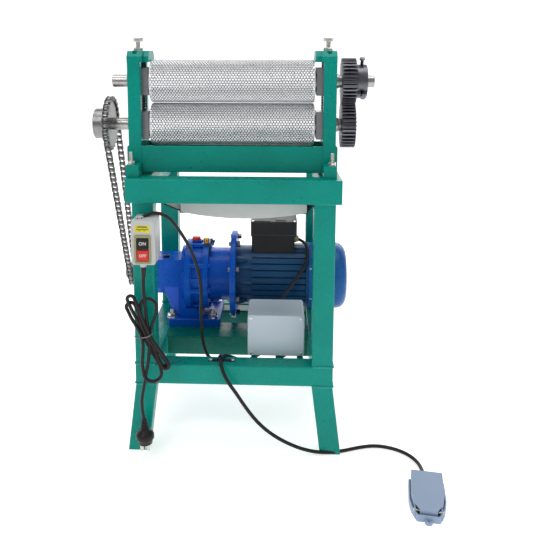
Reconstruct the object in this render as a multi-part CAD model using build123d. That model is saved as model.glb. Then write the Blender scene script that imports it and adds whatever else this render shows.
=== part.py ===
from build123d import *
import math
import os

# Machine frame while modelling, in mm: x to the operator's right, y away from the operator,
# z up, floor at z = 0, front face of the top frame at y = 0. Every solid is moved by the
# printed shift at the end, so that the middle of the footprint is the origin.

# stand
TUBE = 40.0
WALL = 2.5
EDGE_R = 3.0
TOP_HALF_W = 199.0
TOP_DEPTH = 383.0
TOP_Z0, TOP_Z1 = 497.0, 542.0
LEG_HALF_W = 189.0
LEG_Y0, LEG_Y1 = 9.0, 374.0
BASE_Z0, BASE_Z1 = 139.0, 179.0
FOOT_SPLAY = 18.0
DRIVE_RAIL_Y = (141.0, 221.0)
REAR_RAIL_Y = (289.0, 329.0)

# roller head
HEAD_X = -5.0
ROLLER_LEN = 310.0
ROLLER_R = 41.0
NECK_R = 16.0
SHAFT_R = 12.0
SHOULDER_R = 14.0
STUB_R = 11.5
STUB_X = (249.0, 262.5)
AXIS_Y = 91.0
LOWER_Z = 634.5
CENTRES = 82.5
UPPER_Z = LOWER_Z + CENTRES
FIT = 0.05
CHEEK_T = 24.0
CHEEK_Y = (48.0, 134.0)
CHEEK_TOP = 753.5
CHEEK_GAP = 341.0
CHOCK_HALF = 26.0
CHOCK_IN = 12.0
CAP_T = 20.5
STUD_Y = (28.0, 154.0)

# gears and chain
GEAR_TEETH = 33
GEAR_MODULE = 2.5
GEAR_X = (201.0, 227.0)
COLLAR_X = (228.0, 247.5)
PITCH = 12.7
CHAIN_ROLLER_R = 3.9
CHAIN_LINKS = 80
BIG_TEETH = 24
SMALL_TEETH = 12
SPROCKET_X = -242.0
DRIVE_Z = 279.0

# gearmotor
RING_R = 77.0
CASE_R = 68.0
NECK_X = (-105.0, -77.0)
FILLER_X = -97.0
SILL_Z = 212.5
ADAPTER_X = -66.5
ADAPTER_R = 58.0
FLANGE_X = (-18.0, -6.0)
FLANGE_R = 96.0
BELL_R = 63.5
CORE_X = (28.0, 150.0)
MOTOR_R = 69.0
FINS = 30
GROOVE_W = 3.0
GROOVE_D = 6.0
COVER_R = 72.0
COVER_END = 233.0
COVER_FILLET = 22.0
COVER_WALL = 2.0
VENT_R = 4.5

# cords
CORD_D = 6.5
PEDAL_CORD_D = 7.0

parts = {}


def box(x0, x1, y0, y1, z0, z1):
    return Pos((x0 + x1) / 2, (y0 + y1) / 2, (z0 + z1) / 2) * Box(x1 - x0, y1 - y0, z1 - z0)


def cyl_x(x0, x1, y, z, r):
    return Pos((x0 + x1) / 2, y, z) * Rot(0, 90, 0) * Cylinder(r, x1 - x0)


def cyl_y(y0, y1, x, z, r):
    return Pos(x, (y0 + y1) / 2, z) * Rot(90, 0, 0) * Cylinder(r, y1 - y0)


def cyl_z(z0, z1, x, y, r):
    return Pos(x, y, (z0 + z1) / 2) * Cylinder(r, z1 - z0)


def hexagon_z(z0, z1, x, y, across_flats):
    sketch = Plane.XY.offset(z0) * (Pos(x, y) * RegularPolygon(across_flats / math.sqrt(3), 6))
    return extrude(sketch, z1 - z0)


def rounded(shape, axis, radius):
    return fillet(shape.edges().filter_by(axis), radius)


def group(shapes):
    """Identical pieces that share one node, as separate solids."""
    return Compound(children=[Solid(shape.solid().wrapped) for shape in shapes])


def plate_yz(points, x0, x1):
    face = Plane.YZ.offset(x0) * make_face(Polyline(*points, close=True))
    return extrude(face, x1 - x0)


def plate_xz(points, y0, y1):
    wire = Polyline(*[(x, y0, z) for x, z in points], close=True)
    return extrude(make_face(wire), y1 - y0, dir=(0, 1, 0))


# ---------------------------------------------------------------- stand

def tube_x(x0, x1, y0, y1, z0, z1, drain=None):
    """Tube along X with closed ends and one drain hole in a face that another tube covers."""
    outer = rounded(box(x0, x1, y0, y1, z0, z1), Axis.X, EDGE_R)
    hollow = box(x0 + WALL, x1 - WALL, y0 + WALL, y1 - WALL, z0 + WALL, z1 - WALL)
    hole = cyl_z(z0 - 1, (z0 + z1) / 2, drain[0], drain[1], 8)
    return outer - hollow - hole


def tube_y(x0, x1, y0, y1, z0, z1):
    outer = rounded(box(x0, x1, y0, y1, z0, z1), Axis.Y, EDGE_R)
    return outer - box(x0 + WALL, x1 - WALL, y0 - 1, y1 + 1, z0 + WALL, z1 - WALL)


def tube_z(x0, x1, y0, y1, z0, z1):
    outer = rounded(box(x0, x1, y0, y1, z0, z1), Axis.Z, EDGE_R)
    return outer - box(x0 + WALL, x1 - WALL, y0 + WALL, y1 - WALL, z0 - 1, z1 + 1)


def splayed_foot(side, y0):
    """Foot that leans outward, open at the top and closed by a plate at the floor."""
    a = side * LEG_HALF_W
    b = side * (LEG_HALF_W - TUBE)
    s = side * FOOT_SPLAY
    w = side * WALL
    outer = plate_xz([(a + s, 0), (b + s, 0), (b, BASE_Z0), (a, BASE_Z0)], y0, y0 + TUBE)
    long_edges = [e for e in outer.edges() if abs(e.length - math.hypot(FOOT_SPLAY, BASE_Z0)) < 0.01]
    outer = fillet(long_edges, EDGE_R)
    t = WALL / BASE_Z0
    k = s * (1 - t)
    top = BASE_Z0 + 1
    over = -s / BASE_Z0
    inner = plate_xz(
        [(a + k - w, WALL), (b + k + w, WALL), (b + w + over, top), (a - w + over, top)],
        y0 + WALL, y0 + TUBE - WALL)
    return outer - inner


def add_stand():
    w, d, lw = TOP_HALF_W, TOP_DEPTH, LEG_HALF_W
    parts["top_rail_front"] = tube_x(-w, w, 0, TUBE, TOP_Z0, TOP_Z1, (lw - 20, 29))
    parts["top_rail_rear"] = tube_x(-w, w, d - TUBE, d, TOP_Z0, TOP_Z1, (lw - 20, d - 29))
    parts["top_rail_left"] = tube_y(-w, -w + TUBE, TUBE, d - TUBE, TOP_Z0, TOP_Z1)
    parts["top_rail_right"] = tube_y(w - TUBE, w, TUBE, d - TUBE, TOP_Z0, TOP_Z1)
    rows = {"front": LEG_Y0, "rear": LEG_Y1 - TUBE}
    sides = {"left": -1, "right": 1}
    for row, y0 in rows.items():
        rail = tube_x(-lw, lw, y0, y0 + TUBE, BASE_Z0, BASE_Z1, (lw - 20, y0 + 20))
        parts[f"base_rail_{row}"] = rail
        for side, s in sides.items():
            x0, x1 = sorted((s * lw, s * (lw - TUBE)))
            parts[f"leg_{row}_{side}"] = tube_z(x0, x1, y0, y0 + TUBE, BASE_Z1, TOP_Z0)
            parts[f"foot_{row}_{side}"] = splayed_foot(s, y0)
    for side, s in sides.items():
        x0, x1 = sorted((s * lw, s * (lw - TUBE)))
        parts[f"base_rail_{side}"] = tube_y(x0, x1, LEG_Y0 + TUBE, LEG_Y1 - TUBE, BASE_Z0, BASE_Z1)


def add_drive_rails():
    inner = LEG_HALF_W - TUBE
    y0, y1 = DRIVE_RAIL_Y
    rail = rounded(box(-inner, inner, y0, y1, BASE_Z0, BASE_Z1), Axis.X, EDGE_R)
    rail -= box(-inner - 1, inner + 1, y0 + WALL, y1 - WALL, BASE_Z0 + WALL, BASE_Z1 - WALL)
    for x in (32.0, 80.0, 122.0):
        rail += box(x, x + 12, LEG_Y0 + TUBE, y0 + 6, BASE_Z1 - 5, BASE_Z1 - 1)
    parts["gearbox_rail_front"] = rail
    y0, y1 = REAR_RAIL_Y
    rail = rounded(box(-inner, inner, y0, y1, BASE_Z0, BASE_Z1), Axis.X, EDGE_R)
    rail -= box(-inner - 1, inner + 1, y0 + WALL, y1 - WALL, BASE_Z0 + WALL, BASE_Z1 - WALL)
    parts["gearbox_rail_rear"] = rail


# ---------------------------------------------------------------- roller head

def cheek_span(side):
    inner = HEAD_X + side * CHEEK_GAP / 2
    return tuple(sorted((inner, inner + side * CHEEK_T)))


def stud_spot(side):
    x0, x1 = cheek_span(side)
    return (x0 + x1) / 2 + side * 4.0


def cheek(side):
    x0, x1 = cheek_span(side)
    y0, y1 = CHEEK_Y
    body = rounded(box(x0, x1, y0, y1, TOP_Z1, CHEEK_TOP), Axis.Z, 2.0)
    outer = x0 if side < 0 else x1
    flange = plate_xz([(outer - side * 2, TOP_Z1), (outer + side * 3.5, TOP_Z1), (outer + side * 3.5, 595),
                       (outer, 598), (outer - side * 2, 598)], y0 + 3, y1 - 3)
    body += flange
    for front in (True, False):
        a, b = (16.0, y0) if front else (y1, y1 + 32.0)
        lug = box(x0, x1, a, b, TOP_Z1, 565)
        body += lug
        body -= cyl_z(TOP_Z1 - 1, 566, stud_spot(side), STUD_Y[0] if front else STUD_Y[1], 4.0 + FIT)
    half = CHOCK_HALF + FIT
    body -= box(x0 - 10, x1 + 10, AXIS_Y - half, AXIS_Y + half, LOWER_Z - CHOCK_HALF, CHEEK_TOP + 1)
    return body


def cap(side):
    x0, x1 = cheek_span(side)
    inner = x1 if side < 0 else x0
    y0, y1 = CHEEK_Y
    z0, z1 = CHEEK_TOP, CHEEK_TOP + CAP_T
    a, b = sorted((x0 if side < 0 else x1, inner - side * 4.0))
    main = plate_yz([(y0, z0), (y1, z0), (y1, z1 - 10), (y1 - 10, z1), (y0 + 10, z1), (y0, z1 - 10)], a, b)
    c, d = sorted((inner - side * 4.0, inner - side * 15.0))
    m0, m1 = y0 + 12, y1 - 12
    nose = plate_yz([(m0, z0), (m1, z0), (m1, z1 - 10), (m1 - 10, z1), (m0 + 10, z1), (m0, z1 - 10)], c, d)
    body = main + nose
    x = adjuster_x(side)
    body -= cyl_z(z0 - 1, z1 + 1, x, AXIS_Y, 5.0 + FIT)
    for y in (y0 + 8.5, y1 - 8.5):
        body -= cyl_z(z0 + 12, z1 + 1, x, y, 4.5)
        body += hexagon_z(z0 + 11.5, z0 + 15.5, x, y, 7.0)
    return body


def adjuster_x(side):
    return HEAD_X + side * (CHEEK_GAP / 2 + 10.0)


def adjuster(side):
    x = adjuster_x(side)
    z0 = UPPER_Z + CHOCK_HALF
    shank = cyl_z(z0, 791, x, AXIS_Y, 5.0)
    return shank + hexagon_z(791, 798.5, x, AXIS_Y, 17.0)


def locknut(side):
    x = adjuster_x(side)
    z0 = CHEEK_TOP + CAP_T
    return hexagon_z(z0, z0 + 6, x, AXIS_Y, 17.0) - cyl_z(z0 - 1, z0 + 7, x, AXIS_Y, 5.0 + FIT)


def chock(side, z):
    x0, x1 = cheek_span(side)
    a, b = (x0, x1 + CHOCK_IN) if side < 0 else (x0 - CHOCK_IN, x1)
    body = box(a, b, AXIS_Y - CHOCK_HALF, AXIS_Y + CHOCK_HALF, z - CHOCK_HALF, z + CHOCK_HALF)
    body = rounded(body, Axis.X, 1.5)
    return body - cyl_x(a - 1, b + 1, AXIS_Y, z, NECK_R + FIT)


def gap_spring(side):
    z0, z1 = LOWER_Z + CHOCK_HALF, UPPER_Z - CHOCK_HALF
    x = adjuster_x(side)
    return cyl_z(z0, z1, x, AXIS_Y, 9) - cyl_z(z0 - 1, z1 + 1, x, AXIS_Y, 6)


def holddown_bolt(side, y):
    x = stud_spot(side)
    return cyl_z(TOP_Z1, 589, x, y, 4.0) + hexagon_z(565, 572, x, y, 13.0)


def add_head():
    inner0 = HEAD_X - CHEEK_GAP / 2
    inner1 = HEAD_X + CHEEK_GAP / 2
    names = {"left": -1, "right": 1}
    for name, s in names.items():
        parts[f"cheek_{name}"] = cheek(s)
        parts[f"cap_{name}"] = cap(s)
        parts[f"adjuster_{name}"] = adjuster(s)
    sides = (-1, 1)
    parts["locknuts"] = group([locknut(s) for s in sides])
    parts["lower_chocks"] = group([chock(s, LOWER_Z) for s in sides])
    parts["upper_chocks"] = group([chock(s, UPPER_Z) for s in sides])
    parts["gap_springs"] = group([gap_spring(s) for s in sides])
    parts["holddown_bolts"] = group([holddown_bolt(s, y) for s in sides for y in STUD_Y])
    parts["head_plate_front"] = rounded(box(inner0, inner1, 49, 57, 547, 597), Axis.X, 1.5)
    parts["head_plate_rear"] = rounded(box(inner0, inner1, 125, 133, 547, 597), Axis.X, 1.5)


def roller(z, left_end, right_end):
    x0 = HEAD_X - ROLLER_LEN / 2
    x1 = HEAD_X + ROLLER_LEN / 2
    left = cheek_span(-1)[0]
    right = cheek_span(1)[1]
    barrel = cyl_x(x0, x1, AXIS_Y, z, ROLLER_R)
    barrel = chamfer(barrel.edges().filter_by(GeomType.CIRCLE), 1.0)
    body = barrel + cyl_x(left - 0.5, right + 0.5, AXIS_Y, z, NECK_R)
    body += cyl_x(left - 6, left, AXIS_Y, z, SHOULDER_R)
    body += cyl_x(right, right + 6, AXIS_Y, z, SHOULDER_R)
    shaft = cyl_x(left_end, right_end, AXIS_Y, z, SHAFT_R)
    shaft = chamfer(shaft.edges().filter_by(GeomType.CIRCLE), 1.0)
    return body + shaft


def crank_stub():
    """Turned-down end of the upper roller's shaft, with an undercut at its shoulder."""
    x0, x1 = STUB_X
    stub = cyl_x(x0, x1, AXIS_Y, UPPER_Z, STUB_R)
    stub = chamfer(stub.edges().filter_by(GeomType.CIRCLE), 1.0)
    return stub + cyl_x(COLLAR_X[1] - 2, x0 + 1, AXIS_Y, UPPER_Z, STUB_R - 1.5)


# ---------------------------------------------------------------- gears

def involute(base_r, r):
    t = math.sqrt(max((r / base_r) ** 2 - 1, 0))
    return t - math.atan(t)


def gear(z, first_tooth_deg):
    teeth, m = GEAR_TEETH, GEAR_MODULE
    pitch_r = m * teeth / 2
    base_r = pitch_r * math.cos(math.radians(20))
    tip_r = pitch_r + m
    root_r = pitch_r - 1.25 * m
    half_pitch = math.pi / (2 * teeth) - 0.10 / pitch_r
    inv0 = involute(base_r, pitch_r)
    radii = [base_r + (tip_r - base_r) * k / 5 for k in range(6)]

    def polar(r, a):
        return (r * math.cos(a), r * math.sin(a))

    edges = []
    ends = []
    for i in range(teeth):
        mid = math.radians(first_tooth_deg) + 2 * math.pi * i / teeth
        half = [half_pitch + inv0 - involute(base_r, r) for r in radii]
        right = [polar(r, mid - h) for r, h in zip(radii, half)]
        left = [polar(r, mid + h) for r, h in zip(radii, half)]
        foot_r = polar(root_r, mid - half[0])
        foot_l = polar(root_r, mid + half[0])
        edges.append(Line(foot_r, right[0]))
        edges.append(Spline(*right))
        edges.append(ThreePointArc(right[-1], polar(tip_r, mid), left[-1]))
        edges.append(Spline(*left[::-1]))
        edges.append(Line(left[0], foot_l))
        ends.append((foot_r, foot_l, mid))
    for i in range(teeth):
        a = ends[i][1]
        b = ends[(i + 1) % teeth][0]
        mid = ends[i][2] + math.pi / teeth
        edges.append(ThreePointArc(a, polar(root_r, mid), b))
    wire = Wire(edges)
    face = Plane(origin=(GEAR_X[0], AXIS_Y, z), x_dir=(0, 1, 0), z_dir=(1, 0, 0)) * Face(wire)
    body = extrude(face, GEAR_X[1] - GEAR_X[0])
    body -= cyl_x(GEAR_X[0] - 1, GEAR_X[1] + 1, AXIS_Y, z, SHAFT_R + FIT)
    return body


def timing_collar():
    x0, x1 = COLLAR_X
    body = cyl_x(x0, x1, AXIS_Y, UPPER_Z, 32)
    body = chamfer(body.edges().filter_by(GeomType.CIRCLE), 1.0)
    body -= cyl_x(x0 - 1, x1 + 1, AXIS_Y, UPPER_Z, SHAFT_R + FIT)
    xm = (x0 + x1) / 2
    for lean in (17.0, 127.0):
        screw = Pos(0, 0, 36) * Cylinder(3, 14) + Pos(0, 0, 44.5) * Cylinder(5, 4)
        body += Pos(xm, AXIS_Y, UPPER_Z) * Rot(lean, 0, 0) * screw
    return body


def sprocket_sketch(teeth, first_gap_deg, tip_r):
    pitch_r = PITCH / (2 * math.sin(math.pi / teeth))
    seat = CHAIN_ROLLER_R + 0.2
    edges = []
    marks = []

    def turned(u, v, a):
        return (u * math.cos(a) - v * math.sin(a), u * math.sin(a) + v * math.cos(a))

    for i in range(teeth):
        a = math.radians(first_gap_deg) + 2 * math.pi * i / teeth
        c = math.radians(35)
        low = (pitch_r - seat * math.cos(c + math.radians(25)), -seat * math.sin(c + math.radians(25)))
        high = (low[0], -low[1])
        bottom = (pitch_r - seat, 0)
        half_tip = math.pi / teeth
        tip_low = (tip_r * math.cos(half_tip * 0.78), -tip_r * math.sin(half_tip * 0.78))
        tip_high = (tip_low[0], -tip_low[1])
        pts = [turned(*p, a) for p in (tip_low, low, bottom, high, tip_high)]
        edges.append(Line(pts[0], pts[1]))
        edges.append(ThreePointArc(pts[1], pts[2], pts[3]))
        edges.append(Line(pts[3], pts[4]))
        marks.append((pts[0], pts[4], a))
    for i in range(teeth):
        p = marks[i][1]
        q = marks[(i + 1) % teeth][0]
        a = marks[i][2] + math.pi / teeth
        edges.append(ThreePointArc(p, (tip_r * math.cos(a), tip_r * math.sin(a)), q))
    return Face(Wire(edges))


def sprocket_plate(teeth, y, z, first_gap_deg, tip_r):
    face = sprocket_sketch(teeth, first_gap_deg, tip_r)
    plane = Plane(origin=(SPROCKET_X - 2.8, y, z), x_dir=(0, 1, 0), z_dir=(1, 0, 0))
    return extrude(plane * face, 5.6)


def chain_geometry():
    """Path radii, drive axis y, tangent angle, and the roller centres along the loop."""
    r1 = BIG_TEETH * PITCH / (2 * math.pi)
    r2 = SMALL_TEETH * PITCH / (2 * math.pi)
    target = CHAIN_LINKS * PITCH
    dz = LOWER_Z - DRIVE_Z
    low, high = 100.0, 250.0
    for _ in range(60):
        dy = (low + high) / 2
        c = math.hypot(dy, dz)
        a = math.asin((r1 - r2) / c)
        length = 2 * math.sqrt(c * c - (r1 - r2) ** 2) + r1 * (math.pi + 2 * a) + r2 * (math.pi - 2 * a)
        if length < target:
            low = dy
        else:
            high = dy
    return r1, r2, AXIS_Y + dy, c, a


R1, R2, DRIVE_Y, CHAIN_C, CHAIN_A = chain_geometry()
BIG_R = PITCH / (2 * math.sin(math.pi / BIG_TEETH))
SMALL_R = PITCH / (2 * math.sin(math.pi / SMALL_TEETH))


def chain_rollers():
    """Centres (y, z) of all rollers, and the gap phase of each sprocket in degrees."""
    uy = (DRIVE_Y - AXIS_Y) / CHAIN_C
    uz = (DRIVE_Z - LOWER_Z) / CHAIN_C
    heading = math.atan2(uz, uy)
    straight = math.sqrt(CHAIN_C ** 2 - (R1 - R2) ** 2)
    arc1 = R1 * (math.pi + 2 * CHAIN_A)
    arc2 = R2 * (math.pi - 2 * CHAIN_A)
    start = heading + math.pi / 2 - CHAIN_A
    out = []
    phase1 = math.degrees(start + (PITCH / 2) / R1)
    for k in range(CHAIN_LINKS):
        s = (k + 0.5) * PITCH
        if s < arc1:
            a = start + s / R1
            out.append((AXIS_Y + BIG_R * math.cos(a), LOWER_Z + BIG_R * math.sin(a)))
            continue
        s -= arc1
        end1 = start + arc1 / R1
        if s < straight:
            t = s / straight
            p = (AXIS_Y + BIG_R * math.cos(end1), LOWER_Z + BIG_R * math.sin(end1))
            q = (DRIVE_Y + SMALL_R * math.cos(end1), DRIVE_Z + SMALL_R * math.sin(end1))
            out.append((p[0] + (q[0] - p[0]) * t, p[1] + (q[1] - p[1]) * t))
            continue
        s -= straight
        if s < arc2:
            a = end1 + s / R2
            out.append((DRIVE_Y + SMALL_R * math.cos(a), DRIVE_Z + SMALL_R * math.sin(a)))
            continue
        s -= arc2
        t = s / straight
        end2 = end1 + arc2 / R2
        p = (DRIVE_Y + SMALL_R * math.cos(end2), DRIVE_Z + SMALL_R * math.sin(end2))
        q = (AXIS_Y + BIG_R * math.cos(end2), LOWER_Z + BIG_R * math.sin(end2))
        out.append((p[0] + (q[0] - p[0]) * t, p[1] + (q[1] - p[1]) * t))
    first2 = math.ceil((arc1 + straight) / PITCH - 0.5)
    s2 = (first2 + 0.5) * PITCH - arc1 - straight
    phase2 = math.degrees(end1 + s2 / R2)
    return out, phase1, phase2


ROLLERS, PHASE1, PHASE2 = chain_rollers()


def belt_face(offset, x):
    """Area inside the two pitch circles and their outer tangents, grown by offset."""
    heading = math.atan2(DRIVE_Z - LOWER_Z, DRIVE_Y - AXIS_Y)
    lean = math.asin((BIG_R - SMALL_R) / CHAIN_C)
    a = heading + math.pi / 2 - lean
    b = heading - math.pi / 2 + lean
    r1, r2 = BIG_R + offset, SMALL_R + offset

    def on(cy, cz, r, t):
        return (cy + r * math.cos(t), cz + r * math.sin(t))

    back = heading + math.pi
    wire = Wire([
        Line(on(DRIVE_Y, DRIVE_Z, r2, a), on(AXIS_Y, LOWER_Z, r1, a)),
        ThreePointArc(on(AXIS_Y, LOWER_Z, r1, a), on(AXIS_Y, LOWER_Z, r1, back), on(AXIS_Y, LOWER_Z, r1, b)),
        Line(on(AXIS_Y, LOWER_Z, r1, b), on(DRIVE_Y, DRIVE_Z, r2, b)),
        ThreePointArc(on(DRIVE_Y, DRIVE_Z, r2, b), on(DRIVE_Y, DRIVE_Z, r2, heading), on(DRIVE_Y, DRIVE_Z, r2, a)),
    ])
    return Plane(origin=(x, 0, 0), x_dir=(0, 1, 0), z_dir=(1, 0, 0)) * Face(wire)


def chain():
    bands = []
    for x in (SPROCKET_X - 5.6, SPROCKET_X + 3.2):
        bands.append(extrude(belt_face(4.9, x), 2.4) - extrude(belt_face(-4.9, x - 1), 4.4))
    pins = [cyl_x(SPROCKET_X - 6.5, SPROCKET_X + 6.5, y, z, CHAIN_ROLLER_R - 1.9) for y, z in ROLLERS]
    rolls = [cyl_x(SPROCKET_X - 3.2, SPROCKET_X + 3.2, y, z, CHAIN_ROLLER_R) for y, z in ROLLERS]
    return bands[0].fuse(bands[1], *pins, *rolls)


def roller_sprocket():
    body = sprocket_plate(BIG_TEETH, AXIS_Y, LOWER_Z, PHASE1, 52.0)
    hub = cyl_x(-271.5, SPROCKET_X - 2.8, AXIS_Y, LOWER_Z, 29)
    hub = chamfer(hub.edges().filter_by(GeomType.CIRCLE).sort_by(Axis.X)[0], 1.5)
    body += hub
    return body - cyl_x(-275, -230, AXIS_Y, LOWER_Z, SHAFT_R + FIT)


def drive_sprocket():
    body = sprocket_plate(SMALL_TEETH, DRIVE_Y, DRIVE_Z, PHASE2, 27.4)
    body += cyl_x(SPROCKET_X - 2.8, SPROCKET_X + 22, DRIVE_Y, DRIVE_Z, 18)
    shaft = cyl_x(-256, -182, DRIVE_Y, DRIVE_Z, SHAFT_R)
    shaft = chamfer(shaft.edges().filter_by(GeomType.CIRCLE), 1.0)
    return body + shaft


def add_rotating():
    parts["lower_roller"] = roller(LOWER_Z, -272.0, GEAR_X[1] + 2)
    parts["upper_roller"] = roller(UPPER_Z, -235.0, COLLAR_X[1]) + crank_stub()
    parts["lower_gear"] = gear(LOWER_Z, 90.0)
    parts["upper_gear"] = gear(UPPER_Z, -90.0 + 180.0 / GEAR_TEETH)
    parts["timing_collar"] = timing_collar()
    parts["roller_sprocket"] = roller_sprocket()
    parts["drive_sprocket"] = drive_sprocket()
    parts["drive_chain"] = chain()


# ---------------------------------------------------------------- tray

TRAY_X = (-102.0, 137.0)
TRAY_Y = (42.0, 142.0)
TRAY_RIM = 495.0
TRAY_SIDE = 472.0
TRAY_LOW = 460.0
HANGER_Y = (50.0, 140.0)


def tray_section(inset, rim):
    x0, x1 = TRAY_X[0] + inset, TRAY_X[1] - inset
    mid = (x0 + x1) / 2
    y = TRAY_Y[0] + inset
    low, side = TRAY_LOW + inset, TRAY_SIDE + inset
    wire = Wire([
        Line((x0, y, rim), (x0, y, side)),
        ThreePointArc((x0, y, side), (mid, y, low), (x1, y, side)),
        Line((x1, y, side), (x1, y, rim)),
        Line((x1, y, rim), (x0, y, rim)),
    ])
    return extrude(Face(wire), TRAY_Y[1] - TRAY_Y[0] - 2 * inset, dir=(0, 1, 0))


def drip_tray():
    return tray_section(0, TRAY_RIM) - tray_section(2.0, TRAY_RIM + 5)


def tray_hanger(side):
    x = TRAY_X[0] if side < 0 else TRAY_X[1]
    rail = side * (TOP_HALF_W - TUBE)
    gap = side * 0.5
    tip = x + gap
    lip = TRAY_SIDE - 2.2
    pts = [
        (rail + side * 18, TOP_Z0), (rail, TOP_Z0), (tip, TRAY_SIDE + 1), (tip, lip),
        (tip - side * 9, lip), (tip - side * 9, lip - 2), (tip + side * 2, lip - 2),
        (tip + side * 2, TRAY_SIDE - 0.5), (rail + side * 1, TOP_Z0 - 2.5), (rail + side * 18, TOP_Z0 - 2.5),
    ]
    return plate_xz(pts, *HANGER_Y)


def add_tray():
    parts["drip_tray"] = drip_tray()
    parts["tray_hangers"] = group([tray_hanger(s) for s in (-1, 1)])


# ---------------------------------------------------------------- gearmotor

def gearbox():
    """Bevel helical gear housing on its pedestal, with two flanged rings round the wheel case."""
    y, z = DRIVE_Y, DRIVE_Z
    foot = rounded(box(-153, -41, y - 66, y + 66, BASE_Z1, 195), Axis.Z, 4)
    block = plate_yz([(y - 45, z - 20), (y - 27, z - 38), (y + 27, z - 38), (y + 45, z - 20),
                      (y + 45, z + 24), (y + 33, z + 40), (y - 33, z + 40), (y - 45, z + 24)], -198, -127)
    leg = plate_xz([(-167, 262), (-117, 262), (-117, 195), (-141, 195)], y - 44, y + 44)
    sill = plate_xz([(-128, SILL_Z), (-95, SILL_Z), (-80, 195), (-128, 195)], y - 44, y + 44)
    body = foot + leg + sill + block
    body += cyl_x(-127, -117, y, z, 62)
    body += cyl_x(-117, NECK_X[0], y, z, RING_R)
    body += cyl_x(*NECK_X, y, z, CASE_R)
    body += cyl_x(NECK_X[1], ADAPTER_X, y, z, RING_R)
    for side in (-1, 1):
        body += box(*NECK_X, *sorted((y + side * 60, y + side * 72)), z + 4, z + 10)
    body += cyl_z(z + 60, 356, FILLER_X, y, 12.5)
    body -= cyl_x(-199, -180, y, z, SHAFT_R + FIT)
    for x in (-146, -58):
        for yy in (y - 50, y + 50):
            body -= cyl_z(BASE_Z1 - 1, 196, x, yy, 6)
            body += cyl_z(BASE_Z1, 196, x, yy, 5) + hexagon_z(195, 203, x, yy, 16)
    return body


def motor_adapter():
    body = cyl_x(ADAPTER_X, FLANGE_X[0], DRIVE_Y, DRIVE_Z, ADAPTER_R)
    ring = cyl_x(*FLANGE_X, DRIVE_Y, DRIVE_Z, FLANGE_R)
    ring = chamfer(ring.edges().filter_by(GeomType.CIRCLE), 1.5)
    return body + ring


def motor_body():
    y, z = DRIVE_Y, DRIVE_Z
    x0, x1 = CORE_X
    bell = cyl_x(FLANGE_X[1], x0, y, z, BELL_R)
    core = cyl_x(x0, x1, y, z, MOTOR_R)
    grooves = []
    for i in range(FINS):
        cut = Pos(0, 0, MOTOR_R) * Box(x1 - x0 + 2, GROOVE_W, 2 * GROOVE_D)
        grooves.append(Pos((x0 + x1) / 2 + 1, y, z) * Rot((i + 0.5) * 360 / FINS, 0, 0) * cut)
    body = bell + core
    return body.cut(*grooves)


def fan_cover():
    y, z = DRIVE_Y, DRIVE_Z
    x0, x1 = CORE_X[1], COVER_END
    outer = cyl_x(x0, x1, y, z, COVER_R)
    outer = fillet(outer.edges().filter_by(GeomType.CIRCLE).sort_by(Axis.X)[-1], COVER_FILLET)
    inner = cyl_x(x0 - 1, x1 - COVER_WALL, y, z, COVER_R - COVER_WALL)
    inner = fillet(inner.edges().filter_by(GeomType.CIRCLE).sort_by(Axis.X)[-1], COVER_FILLET - COVER_WALL)
    body = outer - inner
    slots = []
    for ring, count in ((14.0, 6), (26.0, 12), (38.0, 18)):
        for i in range(count):
            a = 2 * math.pi * (i + 0.5 * (count == 12)) / count
            spot = (y + ring * math.cos(a), z + ring * math.sin(a))
            slots.append(cyl_x(x1 - 10, x1 + 4, *spot, VENT_R))
    return body.cut(*slots)


def terminal_box():
    base = box(27, 120, 224, 294, 330, 375)
    lid = box(25, 125, 222, 296, 375, 408)
    base = rounded(base, Axis.Z, 4)
    lid = rounded(lid, Axis.Z, 5)
    lid = chamfer(lid.faces().sort_by(Axis.Z)[-1].edges(), 2.0)
    gland = cyl_x(119, 127, 243, 366, 7)
    body = base + lid + gland
    return body - cyl_x(0, 150, DRIVE_Y, DRIVE_Z, MOTOR_R)


def add_gearmotor():
    parts["gearbox"] = gearbox()
    parts["motor_adapter"] = motor_adapter()
    parts["motor_body"] = motor_body()
    parts["fan_cover"] = fan_cover()
    parts["terminal_box"] = terminal_box()


# ---------------------------------------------------------------- controls

SWITCH_X = (-180.5, -136.5)
SWITCH_Y = (-45.0, 9.0)
SWITCH_Z = (394.0, 475.0)
ON_BOX = (-169.5, -149.0, 424.5, 443.5)
OFF_BOX = (-169.5, -149.0, 402.0, 421.5)


def junction_box():
    body = box(25, 136, 53, 141, 180, 263.5)
    body = fillet(body.edges().filter_by(Axis.Y), 5.0)
    body = fillet(body.faces().sort_by(Axis.Y)[0].edges(), 2.0)
    for x in (58, 108):
        body += cyl_z(168, 181, x, 95, 9)
    body += cyl_y(140, 149, 80, 240, 9)
    feet = [box(x, x + 12, 60, 135, 178, 181) for x in (32.0, 80.0, 122.0)]
    for foot in feet:
        body += foot
    return body


def switch_box():
    x0, x1 = SWITCH_X
    y0, y1 = SWITCH_Y
    z0, z1 = SWITCH_Z
    body = rounded(box(x0, x1, y0, y1, z0, z1), Axis.Y, 5.0)
    body = fillet(body.faces().sort_by(Axis.Y)[0].edges(), 2.0)
    bezel = rounded(box(-173, -145.5, y0 - 1, y0 + 3, 397.5, 448), Axis.Y, 2.0)
    rim = rounded(box(-170.5, -148, y0 - 2, y0 + 4, 401, 444.5), Axis.Y, 1.5)
    body += bezel
    body -= rim
    for a, b, c, d in (ON_BOX, OFF_BOX):
        body -= box(a - 0.3, b + 0.3, y0 - 3, y0 + 16, c - 0.3, d + 0.3)
    body += cyl_z(z1 - 1, z1 + 3, -168, -22, 7)
    body += cyl_z(z0 - 10, z0 + 1, -163, -22, 6)
    return body


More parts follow.
